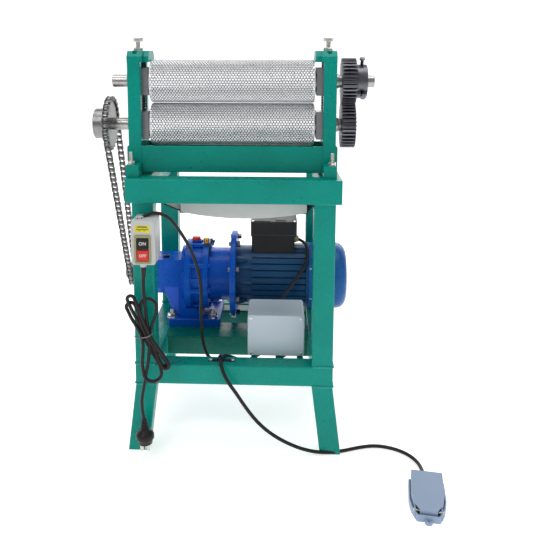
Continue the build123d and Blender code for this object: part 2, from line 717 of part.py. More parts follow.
def push_button(area):
    a, b, c, d = area
    body = box(a, b, SWITCH_Y[0] - 2.5, SWITCH_Y[0] + 10, c, d)
    return fillet(body.faces().sort_by(Axis.Y)[0].edges(), 1.2)


def cable_saddle():
    x, z = -26.5, BASE_Z1
    strap = box(-50, 2, 26, 36, z, z + 1.5)
    hump = cyl_y(26, 36, x, z + 4.8, 5.6) - box(x - 10, x + 10, 20, 40, z - 5, z)
    body = strap + hump
    body -= cyl_y(20, 40, x, z + 4.8, PEDAL_CORD_D / 2 + 0.4)
    body -= box(x - 3.9, x + 3.9, 20, 40, z - 1, z + 4.8)
    for sx in (-45.5, -2.5):
        body += cyl_z(z + 1, z + 4, sx, 31, 3.5)
    return body


def add_controls():
    parts["junction_box"] = junction_box()
    parts["switch_box"] = switch_box()
    parts["on_button"] = push_button(ON_BOX)
    parts["off_button"] = push_button(OFF_BOX)
    parts["cable_saddle"] = cable_saddle()


# ---------------------------------------------------------------- pedal

PEDAL_POS = (343.5, -133.0)
PEDAL_YAW = -9.0
PEDAL_LEN = 98.0


def pedal_outline(grow, y_back, y_front):
    """Outline seen from above: square at the cord end, narrowing towards the operator."""
    w = 31.0 + grow
    n = 19.0 + grow
    m = 28.0 + grow
    return [(-w, y_back), (w, y_back), (w + 0.5, -6), (m, -27), (n, y_front), (-n, y_front), (-m, -27), (-w - 0.5, -6)]


def pedal_prism(grow, y_back, y_front, z0, z1):
    wire = Polyline(*[(x, y, z0) for x, y in pedal_outline(grow, y_back, y_front)], close=True)
    return extrude(make_face(wire), z1 - z0)


def pedal_place(shape):
    return Pos(PEDAL_POS[0], PEDAL_POS[1], 0) * Rot(0, 0, PEDAL_YAW) * shape


def pedal_base():
    half = PEDAL_LEN / 2
    body = pedal_prism(0, half, -half, 0, 12)
    body = fillet(body.edges().filter_by(Axis.Z), 3.0)
    body -= pedal_prism(-2.0, half - 2, -half + 2, 3, 13)
    ear = cyl_z(0, 5, 0, -half - 2, 6.5) - box(-7, 7, -half + 1, -half + 8, -1, 6)
    body += ear
    body -= cyl_z(-1, 6, 0, -half - 3.5, 2.2)
    for s in (-1, 1):
        x0, x1 = sorted((s * 21.0, s * 23.5))
        lug = box(x0, x1, -43, -31, 2, 17.5)
        lug = fillet(lug.edges().filter_by(Axis.X).group_by(Axis.Z)[-1], 3.0)
        body += lug
    body += cyl_y(half - 3, half + 1.5, 0, 8, 5.0) - box(-8, 8, 0, 60, 12, 20)
    body -= cyl_x(-30, 30, -37, 12.5, 2.05)
    return pedal_place(body)


def pedal_treadle():
    half = PEDAL_LEN / 2
    back, front = half - 4, -half + 5
    blank = pedal_prism(-4.0, back, front, 4.5, 40)
    slope = plate_yz([(front - 5, 20), (back + 5, 34), (back + 5, 60), (front - 5, 60)], -60, 60)
    body = blank - slope
    inner = pedal_prism(-6.0, back - 2, front + 2, 3, 40)
    under = plate_yz([(front - 5, 17.8), (back + 5, 31.8), (back + 5, 60), (front - 5, 60)], -60, 60)
    body -= inner - under
    for s in (-1, 1):
        x0, x1 = sorted((s * 14.6, s * 24.0))
        body -= box(x0, x1, -44.5, -29.5, 0, 18.6)
    rib = box(-14.2, 14.2, -39.5, -34.5, 10.0, 20.0)
    body += rib
    skirt = plate_yz([(front - 5, 0), (back + 5, 0), (back + 5, 12.2), (front - 5, 5.0)], -40, 40)
    body -= skirt
    body -= cyl_x(-30, 30, -37, 12.5, 2.05)
    return pedal_place(body)


def pedal_pin():
    return pedal_place(cyl_x(-25, 25, -37, 12.5, 2.0))


def add_pedal():
    parts["pedal_base"] = pedal_base()
    parts["pedal_treadle"] = pedal_treadle()
    parts["pedal_pin"] = pedal_pin()


# ---------------------------------------------------------------- cords

CONTROL_PATH = [(-172, -22, 471), (-150, -9, 485), (-122, 17, 470), (-103, 45, 432), (-86, 68, 390),
                (-74, 82, 345), (-69, 91, 298), (-71, 95, 250), (-69, 95, 204), (-55, 96, 170),
                (-22, 98, 151), (24, 101, 147), (57, 96, 170)]
MOTOR_PATH = [(125, 243, 366), (146, 229, 362), (150, 205, 341), (135, 185, 309), (109, 174, 279),
              (88, 163, 252), (80, 146, 240)]
PEDAL_PATH = [(107, 94, 170), (76, 84, 149), (36, 74, 151), (2, 66, 167), (-21, 49, 183), (-27, 24, 184),
              (-23, -1, 181), (-12, -10, 158), (5, -8, 133), (25, -6, 100), (47, -4, 70), (73, -2, 46),
              (102, 1, 27), (135, 4, 12), (170, 7, 4.2), (207, 14, 3.7), (242, 29, 3.7), (276, 38, 3.7),
              (308, 31, 3.7), (334, 14, 3.7), (350, -12, 4), (354, -46, 6), (351.4, -83, 8)]
MAINS_UP = [(-163, -22, 384.5), (-165, -20, 357), (-164, -22, 329)]
MAINS_DOWN = [(-163.5, -22, 170), (-168, -21, 146), (-173, -20, 121), (-172, -20, 100), (-169.5, -20, 82)]


def cord(name, points, diameter):
    """Round cord along straight runs joined by tangent arcs."""
    p = [Vector(*q) for q in points]
    edges = []
    radii = []
    last = p[0]
    for i in range(1, len(p) - 1):
        a = p[i] - p[i - 1]
        b = p[i + 1] - p[i]
        la, lb = a.length, b.length
        a, b = a.normalized(), b.normalized()
        half = math.acos(max(-1.0, min(1.0, a.dot(b)))) / 2
        reach = 0.45 * min(la, lb)
        radius = reach / math.tan(half)
        radii.append(radius / diameter)
        t0 = p[i] - a * reach
        t1 = p[i] + b * reach
        way = (b - a).normalized()
        mid = p[i] + way * (radius / math.cos(half) - radius)
        edges.append(Line(last, t0))
        edges.append(ThreePointArc(t0, mid, t1))
        last = t1
    edges.append(Line(last, p[-1]))
    wire = Wire(edges)
    start = Plane(origin=p[0], z_dir=(p[1] - p[0]).normalized())
    tube = sweep(start * Circle(diameter / 2), path=wire)
    section = math.pi * diameter ** 2 / 4
    print(f"{name}: length {wire.length:.0f} mm, volume ratio {tube.volume / (section * wire.length):.3f}, "
          f"smallest bend {min(radii):.1f} diameters")
    return tube


def mains_hank():
    outline = [(-184, 329), (-192, 328), (-199, 313), (-194, 292), (-171, 250), (-173, 200), (-172, 176),
               (-160, 157), (-147, 152), (-134, 160), (-122, 182), (-119, 191), (-126, 203), (-152, 248),
               (-139, 296), (-138, 308), (-146, 322), (-158, 326), (-169, 318), (-172, 300)]
    body = plate_xz(outline, -30, -14)
    return fillet(body.faces().sort_by(Axis.Y)[0].edges() + body.faces().sort_by(Axis.Y)[-1].edges(), 2.5)


def mains_plug():
    x, y = -168.0, -20.0
    body = loft([Plane(origin=(x - 1.3, y, 82)) * Circle(5.0), Plane(origin=(x, y, 62)) * Circle(8.5)])
    dome = revolve(Plane(origin=(x, y, 0), x_dir=(1, 0, 0), z_dir=(0, -1, 0)) * make_face(Polyline(
        (0, 63), (8, 63), (14, 58), (17, 52), (17.5, 42), (14, 34), (0, 33), close=True)),
        Axis((x, y, 0), (0, 0, 1)))
    body += dome
    for dx, turn in ((-6.5, 30), (6.5, -30)):
        body += Pos(x + dx, y - 1, 26) * Rot(0, 0, turn) * Box(6.3, 1.6, 18)
    body += Pos(x, y + 7, 26) * Box(1.6, 6.3, 18)
    return body


def add_cords():
    parts["control_cable"] = cord("control_cable", CONTROL_PATH, CORD_D)
    parts["motor_cable"] = cord("motor_cable", MOTOR_PATH, CORD_D)
    parts["pedal_cord"] = cord("pedal_cord", PEDAL_PATH, PEDAL_CORD_D)
    ends = [cord("mains_cord above", MAINS_UP, CORD_D), cord("mains_cord below", MAINS_DOWN, CORD_D)]
    parts["mains_cord"] = group(ends)
    parts["mains_hank"] = mains_hank()
    parts["mains_plug"] = mains_plug()


ON_CORDS = ("control_cable", "motor_cable", "pedal_cord", "mains_cord", "mains_hank", "mains_plug")


def main():
    add_stand()
    add_drive_rails()
    add_head()
    add_rotating()
    add_tray()
    add_gearmotor()
    add_controls()
    add_pedal()
    add_cords()
    boxes = [s.bounding_box() for n, s in parts.items() if n not in ON_CORDS]
    low = [min(getattr(b.min, k) for b in boxes) for k in "XYZ"]
    high = [max(getattr(b.max, k) for b in boxes) for k in "XYZ"]
    shift = (-(low[0] + high[0]) / 2, -(low[1] + high[1]) / 2, -low[2])
    print(f"shift {shift[0]:.4f} {shift[1]:.4f} {shift[2]:.4f}")
    print(f"drive axis y {DRIVE_Y:.4f} z {DRIVE_Z:.4f}, gap phases {PHASE1:.4f} {PHASE2:.4f}")
    print(f"size {high[0] - low[0]:.1f} x {high[1] - low[1]:.1f} x {high[2] - low[2]:.1f} mm, {len(parts)} nodes")
    os.makedirs("parts", exist_ok=True)
    for name, shape in parts.items():
        export_step(Pos(*shift) * shape, f"parts/{name}.step")


main()
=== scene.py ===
import math
import random

import bpy
from mathutils import Matrix, Vector


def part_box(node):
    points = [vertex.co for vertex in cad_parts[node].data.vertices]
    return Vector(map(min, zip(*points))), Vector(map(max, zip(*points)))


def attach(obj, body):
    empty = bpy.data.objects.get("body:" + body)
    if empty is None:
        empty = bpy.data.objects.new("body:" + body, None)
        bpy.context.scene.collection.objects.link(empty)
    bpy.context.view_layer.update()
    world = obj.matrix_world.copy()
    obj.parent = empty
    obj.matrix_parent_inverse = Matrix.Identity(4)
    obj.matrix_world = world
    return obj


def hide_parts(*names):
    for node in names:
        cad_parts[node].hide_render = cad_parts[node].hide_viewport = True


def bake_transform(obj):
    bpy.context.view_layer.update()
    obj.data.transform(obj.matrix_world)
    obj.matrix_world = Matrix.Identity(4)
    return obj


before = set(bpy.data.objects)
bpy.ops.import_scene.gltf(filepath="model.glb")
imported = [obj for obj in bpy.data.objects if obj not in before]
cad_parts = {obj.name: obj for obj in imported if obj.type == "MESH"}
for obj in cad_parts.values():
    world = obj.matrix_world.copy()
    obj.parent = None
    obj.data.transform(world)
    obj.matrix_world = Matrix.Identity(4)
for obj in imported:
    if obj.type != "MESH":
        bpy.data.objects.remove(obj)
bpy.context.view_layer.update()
MM = 0.001

# The part's own drawing has its zero at the middle of the top front rail's front face, at floor level.
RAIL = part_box("top_rail_front")
ORIGIN = Vector(((RAIL[0][0] + RAIL[1][0]) / 2, RAIL[0][1], 0.0))


HEAD_X = -5.0
AXIS_Y = 91.0


def at(x, y, z):
    """A point of the drawing, in mm, as a point of the row frame, in metres."""
    return ORIGIN + Vector((x, y, z)) * MM


def centre_mm(node):
    """Middle of a node's box, in the drawing's mm."""
    low, high = (Vector(c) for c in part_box(node))
    return ((low + high) / 2 - ORIGIN) / MM


def span_mm(node):
    low, high = (Vector(c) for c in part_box(node))
    return (low - ORIGIN) / MM, (high - ORIGIN) / MM


# ---------------------------------------------------------------- materials

class Look:
    """A Principled material whose colour, roughness and bump come from object-space noise."""

    def __init__(self, name, metallic=0.0, roughness=0.5, coat=0.0, specular=0.5):
        self.mat = bpy.data.materials.new(name)
        self.mat.use_nodes = True
        self.tree = self.mat.node_tree
        self.bsdf = self.tree.nodes["Principled BSDF"]
        self.bsdf.inputs["Metallic"].default_value = metallic
        self.bsdf.inputs["Roughness"].default_value = roughness
        self.bsdf.inputs["Coat Weight"].default_value = coat
        self.bsdf.inputs["Coat Roughness"].default_value = 0.08
        self.bsdf.inputs["Specular IOR Level"].default_value = specular
        self.coords = self.tree.nodes.new("ShaderNodeTexCoord").outputs["Object"]
        self.normal = None

    def stretch(self, x, y, z):
        node = self.tree.nodes.new("ShaderNodeMapping")
        node.inputs["Scale"].default_value = (x, y, z)
        self.tree.links.new(self.coords, node.inputs["Vector"])
        return node.outputs["Vector"]

    def noise(self, scale, detail=3.0, coords=None):
        node = self.tree.nodes.new("ShaderNodeTexNoise")
        node.inputs["Scale"].default_value = scale
        node.inputs["Detail"].default_value = detail
        self.tree.links.new(coords or self.coords, node.inputs["Vector"])
        return node.outputs["Fac"]

    def specks(self, scale, size):
        """1 inside small round specks, 0 elsewhere."""
        node = self.tree.nodes.new("ShaderNodeTexVoronoi")
        node.inputs["Scale"].default_value = scale
        self.tree.links.new(self.coords, node.inputs["Vector"])
        return self.ramp(node.outputs["Distance"], size * 0.7, 1.0, size, 0.0)

    def edges(self):
        """1 on sharp convex edges, 0 on flats."""
        node = self.tree.nodes.new("ShaderNodeNewGeometry")
        return self.ramp(node.outputs["Pointiness"], 0.52, 0.0, 0.60, 1.0)

    def ramp(self, value, p0, v0, p1, v1):
        node = self.tree.nodes.new("ShaderNodeMapRange")
        node.inputs["From Min"].default_value = p0
        node.inputs["From Max"].default_value = p1
        node.inputs["To Min"].default_value = v0
        node.inputs["To Max"].default_value = v1
        self.tree.links.new(value, node.inputs["Value"])
        return node.outputs["Result"]

    def multiply(self, a, b):
        node = self.tree.nodes.new("ShaderNodeMath")
        node.operation = "MULTIPLY"
        self.tree.links.new(a, node.inputs[0])
        self.tree.links.new(b, node.inputs[1])
        return node.outputs[0]

    def blend(self, factor, a, b):
        """Mix of two colours, each a tuple or an earlier mix."""
        node = self.tree.nodes.new("ShaderNodeMix")
        node.data_type = "RGBA"
        self.tree.links.new(factor, node.inputs["Factor"])
        for socket, colour in ((node.inputs[6], a), (node.inputs[7], b)):
            if isinstance(colour, tuple):
                socket.default_value = (*colour, 1.0)
            else:
                self.tree.links.new(colour, socket)
        return node.outputs[2]

    def colour(self, source):
        if isinstance(source, tuple):
            self.bsdf.inputs["Base Color"].default_value = (*source, 1.0)
        else:
            self.tree.links.new(source, self.bsdf.inputs["Base Color"])

    def rough(self, source):
        self.tree.links.new(source, self.bsdf.inputs["Roughness"])

    def bump(self, height, distance, strength=1.0):
        node = self.tree.nodes.new("ShaderNodeBump")
        node.inputs["Distance"].default_value = distance
        node.inputs["Strength"].default_value = strength
        self.tree.links.new(height, node.inputs["Height"])
        if self.normal is not None:
            self.tree.links.new(self.normal, node.inputs["Normal"])
        self.normal = node.outputs["Normal"]
        self.tree.links.new(self.normal, self.bsdf.inputs["Normal"])


def paint(name, base, shade, peel=260.0, roughness=0.30, coat=0.04, dust=None):
    """Brushed-on or sprayed gloss paint with orange peel, faint clouds and tiny specks."""
    look = Look(name, roughness=roughness, coat=coat, specular=0.16)
    cloud = look.ramp(look.noise(9.0, 4.0), 0.35, 0.0, 0.65, 1.0)
    tone = look.blend(cloud, base, shade)
    light = tuple(min(1.0, c * 1.5 + 0.06) for c in base)
    tone = look.blend(look.multiply(look.specks(210.0, 0.16), look.noise(40.0)), tone, light)
    if dust:
        marks = look.multiply(look.specks(95.0, 0.13), look.ramp(look.noise(11.0), 0.55, 0.0, 0.62, 1.0))
        tone = look.blend(marks, tone, dust)
    look.colour(tone)
    look.rough(look.ramp(look.noise(70.0), 0.3, roughness - 0.07, 0.7, roughness + 0.10))
    look.bump(look.noise(peel, 2.0), 0.0006, 0.35)
    look.bump(look.noise(28.0, 2.0), 0.0015, 0.12)
    return look.mat


def steel(name, base, shade, roughness, grain=(1.0, 1.0, 1.0), scale=120.0, bump=0.00008, metallic=1.0):
    """Bare metal with tool marks stretched along one direction."""
    look = Look(name, metallic=metallic, roughness=roughness)
    coords = look.stretch(*grain)
    look.colour(look.blend(look.noise(scale, 4.0, coords), base, shade))
    look.rough(look.ramp(look.noise(scale * 2.0, 3.0, coords), 0.3, roughness - 0.06, 0.7, roughness + 0.10))
    look.bump(look.noise(scale * 4.0, 2.0, coords), bump, 0.6)
    return look.mat


def oily(name, base, worn, roughness=0.35):
    """Black-oxide or oiled steel that shines through where edges rub."""
    look = Look(name, metallic=1.0, roughness=roughness)
    tone = look.blend(look.noise(90.0, 4.0), base, tuple(c * 0.6 for c in base))
    look.colour(look.blend(look.edges(), tone, worn))
    look.rough(look.ramp(look.noise(150.0), 0.3, roughness - 0.08, 0.7, roughness + 0.12))
    look.bump(look.noise(420.0, 2.0), 0.0002, 0.4)
    return look.mat


def plastic(name, base, roughness=0.45, grain=700.0, depth=0.00012, coat=0.0):
    """Moulded plastic with a fine eroded texture."""
    look = Look(name, roughness=roughness, coat=coat, specular=0.22)
    look.colour(look.blend(look.noise(14.0, 3.0), base, tuple(c * 0.88 for c in base)))
    look.rough(look.ramp(look.noise(60.0), 0.3, roughness - 0.05, 0.7, roughness + 0.08))
    look.bump(look.noise(grain, 2.0), depth, 0.5)
    return look.mat


GREEN = paint("green_paint", (0.001, 0.290, 0.235), (0.001, 0.250, 0.200), dust=(0.004, 0.06, 0.05))
# darker copy of the frame green: painted shade for the gearbox rails' shadowed faces; the specks are dust
GREEN_PAINTED_SHADE = paint("green_paint_painted_shade", (0.001, 0.150, 0.115), (0.001, 0.120, 0.090),
                    dust=(0.004, 0.06, 0.05))
# the weld beads carry the frame's own green paint; this lighter, glossier copy of it is a painted highlight
WELD_PAINTED_HIGHLIGHT = paint("weld_paint_painted_highlight", (0.030, 0.36, 0.31), (0.006, 0.30, 0.26), peel=420.0, roughness=0.22, coat=0.15)
BLUE = paint("gearbox_blue", (0.002, 0.105, 0.56), (0.002, 0.080, 0.47), peel=200.0, roughness=0.28)
BLUE_LIGHT = paint("pedestal_blue", (0.045, 0.130, 0.68), (0.035, 0.110, 0.60), peel=200.0, roughness=0.34)
NAVY = paint("motor_navy", (0.013, 0.074, 0.185), (0.010, 0.057, 0.145), peel=180.0, roughness=0.36)
COVER = paint("cover_blue", (0.016, 0.120, 0.38), (0.012, 0.098, 0.32), peel=300.0, roughness=0.26)
TRAY = paint("tray_paint", (0.66, 0.66, 0.655), (0.60, 0.60, 0.60), peel=320.0, roughness=0.40, coat=0.05)
HANGER = paint("hanger_paint", (0.030, 0.040, 0.045), (0.022, 0.030, 0.034), roughness=0.42, coat=0.05)
ROLLER = steel("roller_steel", (0.97, 0.97, 0.99), (0.90, 0.90, 0.93), 0.32, scale=60.0, metallic=0.45)
# dark copy of the roller steel for the nubs' sloping walls: painted shade in the grooves between the nubs
GROOVE_PAINTED_SHADE = steel("roller_groove_painted_shade", (0.20, 0.20, 0.21), (0.12, 0.12, 0.13), 0.40, scale=60.0, metallic=0.7)
SHAFT = steel("turned_steel", (0.50, 0.49, 0.48), (0.38, 0.37, 0.36), 0.30,
              grain=(14.0, 1.0, 1.0), scale=40.0)
MACHINED = steel("machined_steel", (0.36, 0.345, 0.365), (0.27, 0.26, 0.28), 0.38,
                 grain=(1.0, 1.0, 8.0), scale=50.0)
ZINC = steel("zinc_plate", (0.80, 0.79, 0.75), (0.62, 0.61, 0.57), 0.28, scale=200.0)
BRASS = steel("plug_pin_metal", (0.74, 0.69, 0.60), (0.60, 0.55, 0.46), 0.28, scale=200.0)
GEAR = oily("gear_black_oxide", (0.045, 0.044, 0.052), (0.20, 0.20, 0.23), 0.36)
CHAIN = oily("chain_steel", (0.045, 0.042, 0.041), (0.16, 0.155, 0.15), 0.34)
SPROCKET = steel("sprocket_steel", (0.33, 0.325, 0.33), (0.22, 0.215, 0.22), 0.34, scale=90.0)
BLACK = plastic("black_plastic", (0.018, 0.018, 0.021), 0.42)
LID = plastic("dark_grey_lid", (0.062, 0.062, 0.064), 0.45)
PALE = plastic("pale_grey_plastic", (0.58, 0.66, 0.745), 0.50)
PEDAL = plastic("pedal_grey_blue", (0.345, 0.44, 0.60), 0.36)
SWITCH = plastic("switch_grey", (0.60, 0.60, 0.60), 0.34)
BEZEL = plastic("bezel_olive", (0.34, 0.335, 0.18), 0.35)
RED = plastic("red_plastic", (0.72, 0.030, 0.018), 0.30, coat=0.2)
YELLOW = plastic("label_yellow", (0.80, 0.72, 0.03), 0.45, grain=300.0)
PRINT_WHITE = plastic("print_white", (0.82, 0.82, 0.82), 0.5)
PRINT_BLACK = plastic("print_black", (0.04, 0.04, 0.035), 0.5)
RUBBER = plastic("cable_rubber", (0.020, 0.017, 0.018), 0.36, grain=500.0, depth=0.00010)
SADDLE = plastic("saddle_blue_black", (0.020, 0.024, 0.075), 0.35)


# ---------------------------------------------------------------- mesh helpers

class Shape:
    """Collects closed forms in the drawing's mm and turns them into one piece."""

    def __init__(self):
        self.verts = []
        self.faces = []
        self.seconds = []

    def add(self, verts, faces, seconds=()):
        """Adds a form; seconds are its faces that take the piece's second material."""
        start = len(self.verts)
        self.seconds += [len(self.faces) + i for i in seconds]
        self.verts += [Vector(v) for v in verts]
        self.faces += [tuple(start + i for i in f) for f in faces]

    def box(self, x0, x1, y0, y1, z0, z1):
        verts = [(x, y, z) for x in (x0, x1) for y in (y0, y1) for z in (z0, z1)]
        faces = [(0, 1, 3, 2), (4, 6, 7, 5), (0, 4, 5, 1), (2, 3, 7, 6), (0, 2, 6, 4), (1, 5, 7, 3)]
        self.add(verts, faces)

    def loft(self, rings, cap_start=True, cap_end=True):
        """Joins rings of equal length into a skin."""
        count = len(rings[0])
        verts = [p for ring in rings for p in ring]
        faces = []
        for k in range(len(rings) - 1):
            for i in range(count):
                j = (i + 1) % count
                faces.append((k * count + i, k * count + j, (k + 1) * count + j, (k + 1) * count + i))
        if cap_start:
            faces.append(tuple(range(count))[::-1])
        if cap_end:
            faces.append(tuple((len(rings) - 1) * count + i for i in range(count)))
        self.add(verts, faces)

    def prism(self, outline, a, b, axis="z"):
        """Outline in the plane across the axis, from a to b along it."""
        def place(u, v, w):
            return {"x": (w, u, v), "y": (u, w, v), "z": (u, v, w)}[axis]
        self.loft([[place(u, v, w) for u, v in outline] for w in (a, b)])

    def lathe(self, base, direction, profile, segments=32):
        """Turned form: profile is (distance along, radius) pairs."""
        base = Vector(base)
        turn = Vector(direction).normalized().to_track_quat("Z", "Y")
        rings = []
        for t, r in profile:
            ring = []
            for i in range(segments):
                a = 2 * math.pi * i / segments
                ring.append(base + turn @ Vector((max(r, 0.02) * math.cos(a), max(r, 0.02) * math.sin(a), t)))
            rings.append(ring)
        self.loft(rings)

    def hexagon(self, base, direction, across, height, turn_deg=0.0):
        """Nut or bolt head with a chamfered crown."""
        base = Vector(base)
        turn = Vector(direction).normalized().to_track_quat("Z", "Y")
        r = across / math.sqrt(3)
        rings = []
        for t, scale in ((0, 0.97), (0.06 * across, 1.0), (height - 0.07 * across, 1.0), (height, 0.90)):
            ring = []
            for i in range(6):
                a = math.radians(turn_deg) + math.pi * i / 3
                ring.append(base + turn @ Vector((r * scale * math.cos(a), r * scale * math.sin(a), t)))
            rings.append(ring)
        self.loft(rings)

    def thread(self, base, direction, length, radius, pitch):
        """Screw thread as one skin that winds round the axis."""
        base = Vector(base)
        turn = Vector(direction).normalized().to_track_quat("Z", "Y")
        depth = 0.6 * pitch
        steps = max(4, int(length / pitch * 6))
        segments = 20
        rings = []
        for k in range(steps + 1):
            t = length * k / steps
            ring = []
            for i in range(segments):
                phase = (t / pitch - i / segments) % 1.0
                r = radius - depth * abs(2 * phase - 1)
                if k in (0, steps):
                    r = radius - depth
                a = 2 * math.pi * i / segments
                ring.append(base + turn @ Vector((r * math.cos(a), r * math.sin(a), t)))
            rings.append(ring)
        self.loft(rings)

    def tube(self, points, radii, segments=10):
        """Skin round a list of points, with a radius for each."""
        pts = [Vector(p) for p in points]
        rings = []
        side = None
        for k, p in enumerate(pts):
            along = (pts[min(k + 1, len(pts) - 1)] - pts[max(k - 1, 0)]).normalized()
            if side is None:
                side = along.orthogonal().normalized()
            side = (side - along * side.dot(along)).normalized()
            up = along.cross(side)
            ring = []
            for i in range(segments):
                a = 2 * math.pi * i / segments
                ring.append(p + radii[k] * (side * math.cos(a) + up * math.sin(a)))
            rings.append(ring)
        self.loft(rings)

    def piece(self, name, material, body, slot, sharp=35.0, bevel=0.0, replaces=(), second=None):
        mesh = bpy.data.meshes.new(name)
        mesh.from_pydata([ORIGIN + v * MM for v in self.verts], [], self.faces)
        mesh.materials.append(material)
        if second:
            mesh.materials.append(second)
            for i in self.seconds:
                mesh.polygons[i].material_index = 1
        mesh.validate()
        obj = bpy.data.objects.new(name, mesh)
        bpy.context.scene.collection.objects.link(obj)
        if sharp:
            mesh.polygons.foreach_set("use_smooth", [True] * len(mesh.polygons))
            mesh.set_sharp_from_angle(angle=math.radians(sharp))
        if bevel:
            mod = obj.modifiers.new("soft_edges", "BEVEL")
            mod.width = bevel * MM
            mod.segments = 2
            mod.limit_method = "ANGLE"
            mod.angle_limit = math.radians(40)
            mod.harden_normals = False
        if body:
            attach(obj, body)
        if replaces:
            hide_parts(*replaces)
        return obj


def rounded_outline(x0, x1, y0, y1, radius, steps=4):
    """Corner points of a rectangle with round corners, counter-clockwise."""
    out = []
    corners = ((x1 - radius, y1 - radius, 0), (x0 + radius, y1 - radius, 90),
               (x0 + radius, y0 + radius, 180), (x1 - radius, y0 + radius, 270))
    for cx, cy, start in corners:
        for k in range(steps + 1):
            a = math.radians(start + 90 * k / steps)
            out.append((cx + radius * math.cos(a), cy + radius * math.sin(a)))
    return out


def dress(material, *nodes):
    """Gives CAD nodes their material."""
    for node in nodes:
        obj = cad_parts[node]
        if not obj.material_slots:
            obj.data.materials.append(material)
        for slot in obj.material_slots:
            slot.link = "OBJECT"
            slot.material = material


# ---------------------------------------------------------------- camera, light, floor

def add_camera():
    data = bpy.data.cameras.new("camera")
    data.sensor_width = 36.0
    data.lens = 46.62
    data.shift_x = 0.0468
    data.shift_y = -0.2106
    data.clip_start = 0.05
    data.clip_end = 50.0
    camera = bpy.data.objects.new("camera", data)
    camera.location = at(76.49, -1246.61, 784.70)
    camera.rotation_euler = (math.pi / 2 - 0.1577, 0.0, 0.0439)
    bpy.context.scene.collection.objects.link(camera)
    bpy.context.scene.camera = camera


def add_light(name, position, target, size, power, colour=(1, 1, 1)):
    data = bpy.data.lights.new(name, "AREA")
    data.shape = "RECTANGLE"
    data.size, data.size_y = size
    data.energy = power
    data.color = colour
    lamp = bpy.data.objects.new(name, data)
    lamp.location = position
    lamp.rotation_euler = (Vector(target) - Vector(position)).to_track_quat("-Z", "Y").to_euler()
    bpy.context.scene.collection.objects.link(lamp)


def add_studio():
    world = bpy.data.worlds.new("studio")
    world.use_nodes = True
    world.node_tree.nodes["Background"].inputs["Color"].default_value = (1.0, 1.0, 1.0, 1.0)
    world.node_tree.nodes["Background"].inputs["Strength"].default_value = 0.30
    bpy.context.scene.world = world
    middle = (0.0, 0.0, 0.45)
    add_light("key", (-1.2, -1.9, 2.3), middle, (1.1, 1.1), 17.0)
    add_light("fill", (2.0, -1.7, 1.2), middle, (1.4, 1.4), 5.0)
    add_light("top", (0.0, 0.0, 2.5), (0.0, 0.0, 0.5), (2.0, 1.2), 22.0)
    add_light("back", (0.4, 2.2, 1.6), middle, (2.4, 1.4), 16.0)
    # floor that curves up into a wall, well away from the object
    width, near, bend, height, radius = 6.0, -3.0, 2.4, 4.0, 1.2
    profile = [(near, 0.0), (bend, 0.0)]
    for k in range(1, 13):
        a = math.pi / 2 * k / 12
        profile.append((bend + radius * math.sin(a), radius * (1 - math.cos(a))))
    profile.append((bend + radius, height))
    verts = [(x, y, z) for y, z in profile for x in (-width, width)]
    faces = [(2 * i, 2 * i + 1, 2 * i + 3, 2 * i + 2) for i in range(len(profile) - 1)]
    mesh = bpy.data.meshes.new("backdrop")
    mesh.from_pydata(verts, [], faces)
    mesh.polygons.foreach_set("use_smooth", [True] * len(mesh.polygons))
    look = Look("backdrop_white", roughness=0.9, specular=0.1)
    look.colour((0.88, 0.88, 0.88))
    look.bsdf.inputs["Emission Color"].default_value = (1.0, 1.0, 1.0, 1.0)
    look.bsdf.inputs["Emission Strength"].default_value = 0.62
    mesh.materials.append(look.mat)
    floor = bpy.data.objects.new("backdrop", mesh)
    floor.location = (0, 0, -0.0005)
    bpy.context.scene.collection.objects.link(floor)
    view = bpy.context.scene.view_settings
    view.view_transform = "Standard"
    view.look = "None"
    view.exposure = 0.0


# ---------------------------------------------------------------- cords

CORD_D = 6.5
PEDAL_CORD_D = 7.0
CONTROL_PATH = [(-172, -22, 471), (-150, -9, 485), (-122, 17, 470), (-103, 45, 432), (-86, 68, 390),
                (-74, 82, 345), (-69, 91, 298), (-71, 95, 250), (-70, 96, 212), (-67, 97, 180),
                (-58, 98, 154), (-38, 99, 143), (-5, 100, 142), (28, 101, 147), (57, 96, 170)]
MOTOR_PATH = [(125, 243, 366), (146, 229, 362), (150, 205, 341), (135, 185, 309), (109, 174, 279),
              (88, 163, 252), (80, 146, 240)]
PEDAL_PATH = [(107, 94, 170), (76, 84, 149), (36, 74, 151), (2, 66, 167), (-21, 49, 183), (-27, 24, 184),
              (-23, -1, 181), (-12, -10, 158), (5, -8, 133), (25, -6, 100), (47, -4, 70), (73, -2, 46),
              (102, 1, 27), (135, 4, 12), (170, 7, 4.2), (207, 14, 3.7), (242, 29, 3.7), (276, 38, 3.7),
              (308, 31, 3.7), (334, 14, 3.7), (350, -12, 4), (354, -46, 6), (351.4, -83, 8)]
MAINS_UP = [(-163, -22, 384.5), (-165, -20, 357), (-164, -22, 329)]
MAINS_DOWN = [(-163.5, -22, 170), (-168, -21, 146), (-173, -20, 121), (-172, -20, 100), (-169.5, -20, 82)]


def cord_curve(name, points, diameter):
    """Smooth cord whose control points are the route's points."""
    data = bpy.data.curves.new(name, "CURVE")
    data.dimensions = "3D"
    data.resolution_u = 10
    data.bevel_depth = diameter / 2 * MM
    data.bevel_resolution = 4
    data.use_fill_caps = True
    spline = data.splines.new("NURBS")
    spline.points.add(len(points) - 1)
    for point, xyz in zip(spline.points, points):
        point.co = (*at(*xyz), 1.0)
    spline.order_u = 3
    spline.use_endpoint_u = True
    data.materials.append(RUBBER)
    obj = bpy.data.objects.new(name, data)
    bpy.context.scene.collection.objects.link(obj)
    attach(obj, "stand")
    return obj


WAIST = Vector((-161.0, -21.0, 250.0))
